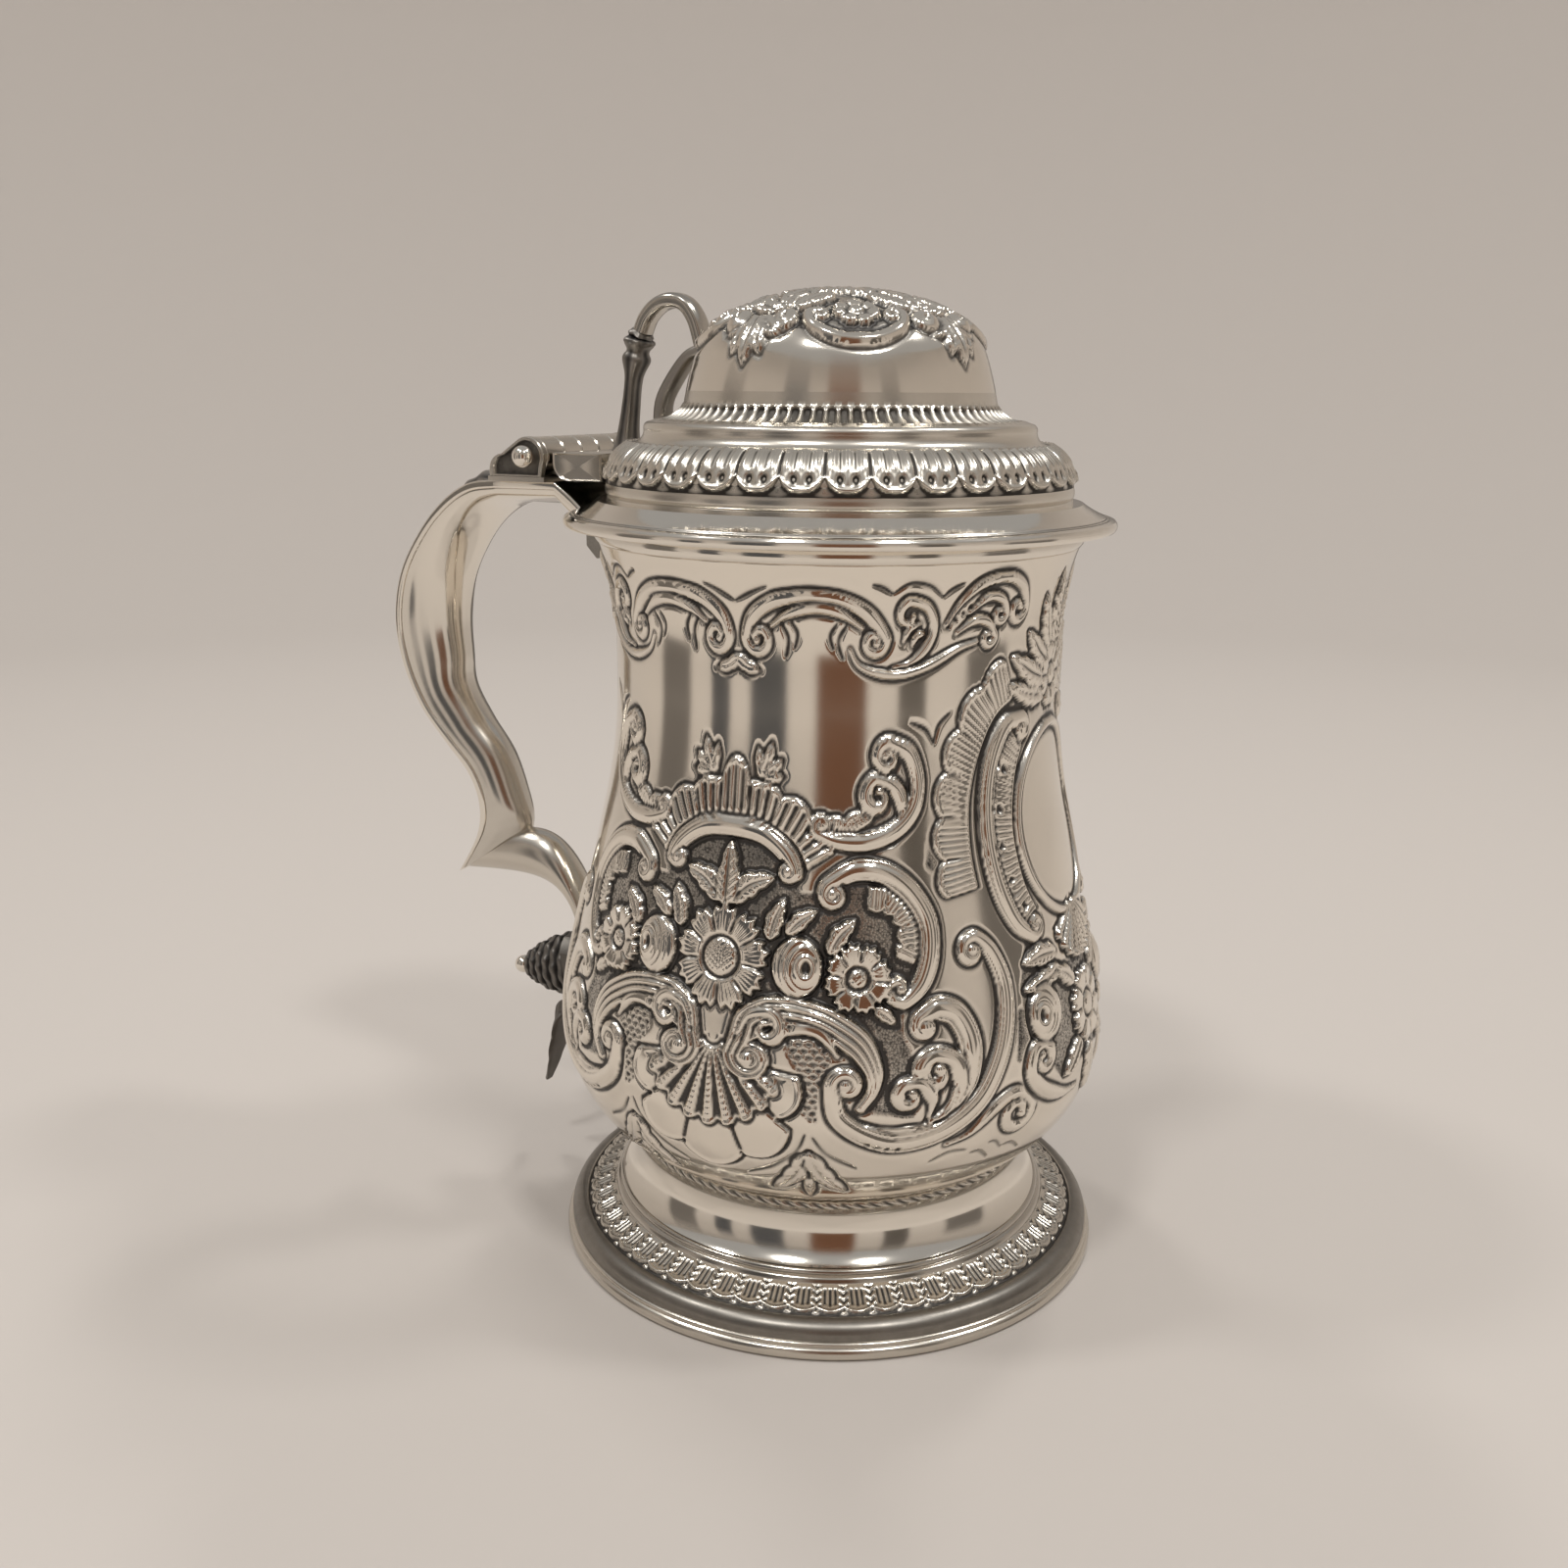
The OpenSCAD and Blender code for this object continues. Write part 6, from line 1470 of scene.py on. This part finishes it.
def sheet_of(title, grid, finish, shut):
    """Plain mesh of a grid of points in millimetres, for the floor and the cards."""
    number = np.arange(grid.shape[0] * grid.shape[1]).reshape(grid.shape[:2])
    number = np.concatenate([number, number[:1]]) if shut else number
    quads = np.stack([number[:-1, :-1], number[1:, :-1], number[1:, 1:], number[:-1, 1:]], -1)
    mesh = bpy.data.meshes.new(title)
    mesh.from_pydata((grid.reshape(-1, 3) / 1000).tolist(), [], quads.reshape(-1, 4).tolist())
    mesh.shade_smooth()
    mesh.materials.append(finish)
    obj = bpy.data.objects.new(title, mesh)
    bpy.context.scene.collection.objects.link(obj)
    return obj


bowl = line((0, 0), (500, 0), arc((900, 700), 700, -90, -10, 40), (1650, 1300))
floor = sheet_of("floor", spun(bowl, 96), plain("pale floor", (0.535, 0.496, 0.462)), True)


def card(title, bearing, far, half, high, colour):
    """Standing card that only the silver sees. It fades out at its sides and its top, so that the
    mirror has soft dark shapes to show."""
    w, z = np.linspace(-1, 1, 25)[:, None], np.linspace(0, 1, 13)[None]
    t = np.radians(bearing)
    x, y = far * np.cos(t) - half * w * np.sin(t), far * np.sin(t) + half * w * np.cos(t)
    finish = plain(title, colour)
    obj = sheet_of(title, np.stack([x + 0 * z, y + 0 * z, 1 + high * z + 0 * w], -1), finish, False)
    fade = step(1, 0.7, np.abs(w)) * step(1, 0.4, z)
    kept = obj.data.attributes.new("fade", "FLOAT", "POINT")
    kept.data.foreach_set("value", fade.reshape(-1).astype(np.float32))
    tree = finish.node_tree
    seen = tree.nodes.new("ShaderNodeAttribute")
    seen.attribute_name = "fade"
    mix, clear = tree.nodes.new("ShaderNodeMixShader"), tree.nodes.new("ShaderNodeBsdfTransparent")
    tree.links.new(seen.outputs["Fac"], mix.inputs[0])
    tree.links.new(clear.outputs[0], mix.inputs[1])
    tree.links.new(tree.nodes["Principled BSDF"].outputs[0], mix.inputs[2])
    tree.links.new(mix.outputs[0], tree.nodes["Material Output"].inputs["Surface"])
    obj.visible_camera = obj.visible_diffuse = obj.visible_shadow = False
    return obj


cards = [
    card("brown card", -64, 520, 128, 640, (0.2, 0.1, 0.06)),
    card("slate card", -99, 520, 98, 580, (0.11, 0.115, 0.125)),
    card("left slate card", -124, 520, 55, 380, (0.1, 0.105, 0.115)),
    card("left grey card", -152, 560, 115, 520, (0.2, 0.19, 0.18)),
    card("right grey card", -30, 560, 80, 580, (0.14, 0.13, 0.12)),
    card("front grey card", 12, 560, 150, 340, (0.2, 0.19, 0.18)),
    card("back grey card", 110, 600, 240, 340, (0.2, 0.19, 0.18)),
]
print("cards:", [each.name for each in cards])

# %% Lamps and world
lamp_far, lamp_high, lamp_size, lamp_aim = 0.9, 1.5, 0.2, np.array([0, 0, 0.1])


def lamp(title, bearing, power, glints):
    """Square soft lamp on the ring, in metres and degrees, turned to the tankard; glints says whether
    metal mirrors it."""
    data = bpy.data.lights.new(title, "AREA")
    data.shape = "SQUARE"
    data.size = lamp_size
    data.energy = power
    data.color = (1, 0.985, 0.96)
    obj = bpy.data.objects.new(title, data)
    obj.visible_glossy = glints
    bpy.context.scene.collection.objects.link(obj)
    t = np.radians(bearing)
    place = np.array([lamp_far * np.cos(t), lamp_far * np.sin(t), lamp_high])
    way = lamp_aim - place
    way /= np.linalg.norm(way)
    side = np.cross(way, (0, 0, 1))
    side /= np.linalg.norm(side)
    axes = np.stack([side, np.cross(side, way), -way, place], 1)
    obj.matrix_world = Matrix(np.concatenate([axes, [[0, 0, 0, 1]]]).tolist())
    return obj


mirrored = 4
ring_of_lamps = ((-150, 4.9), (-95, 6.0), (-35, 6.0), (25, 4.9), (85, 3.9), (145, 3.9))
lamps = [
    lamp(f"lamp {k + 1}", bearing, power, k < mirrored) for k, (bearing, power) in enumerate(ring_of_lamps)]
world = bpy.data.worlds.new("studio")
bpy.context.scene.world = world
world.use_nodes = True
background = world.node_tree.nodes["Background"]
background.inputs["Color"].default_value = (0.95, 0.93, 0.91, 1)
background.inputs["Strength"].default_value = 0.375
print("stage:", floor.name, [each.name for each in lamps])

# %% Camera
scene = bpy.context.scene
scene.view_settings.view_transform = "Standard"
lens = bpy.data.cameras.new("camera")
lens.sensor_width, lens.lens = 36.0, 35.55
lens.clip_start, lens.clip_end = 0.01, 20.0
camera = bpy.data.objects.new("camera", lens)
scene.collection.objects.link(camera)
standing = Matrix.Translation((0.1242, -0.2914, 0.1798))
heading = Matrix.Rotation(np.radians(25), 4, "Z")
pitching = Matrix.Rotation(np.radians(75.66), 4, "X")
rolling = Matrix.Rotation(np.radians(0.43), 4, "Z")
camera.matrix_world = standing @ heading @ pitching @ rolling
scene.camera = camera
print("camera at", np.round(camera.matrix_world.translation, 3), "m")

# %% Sizes and finish
print("pieces:", len(made), "triangles:", sum(n for _, n in made))
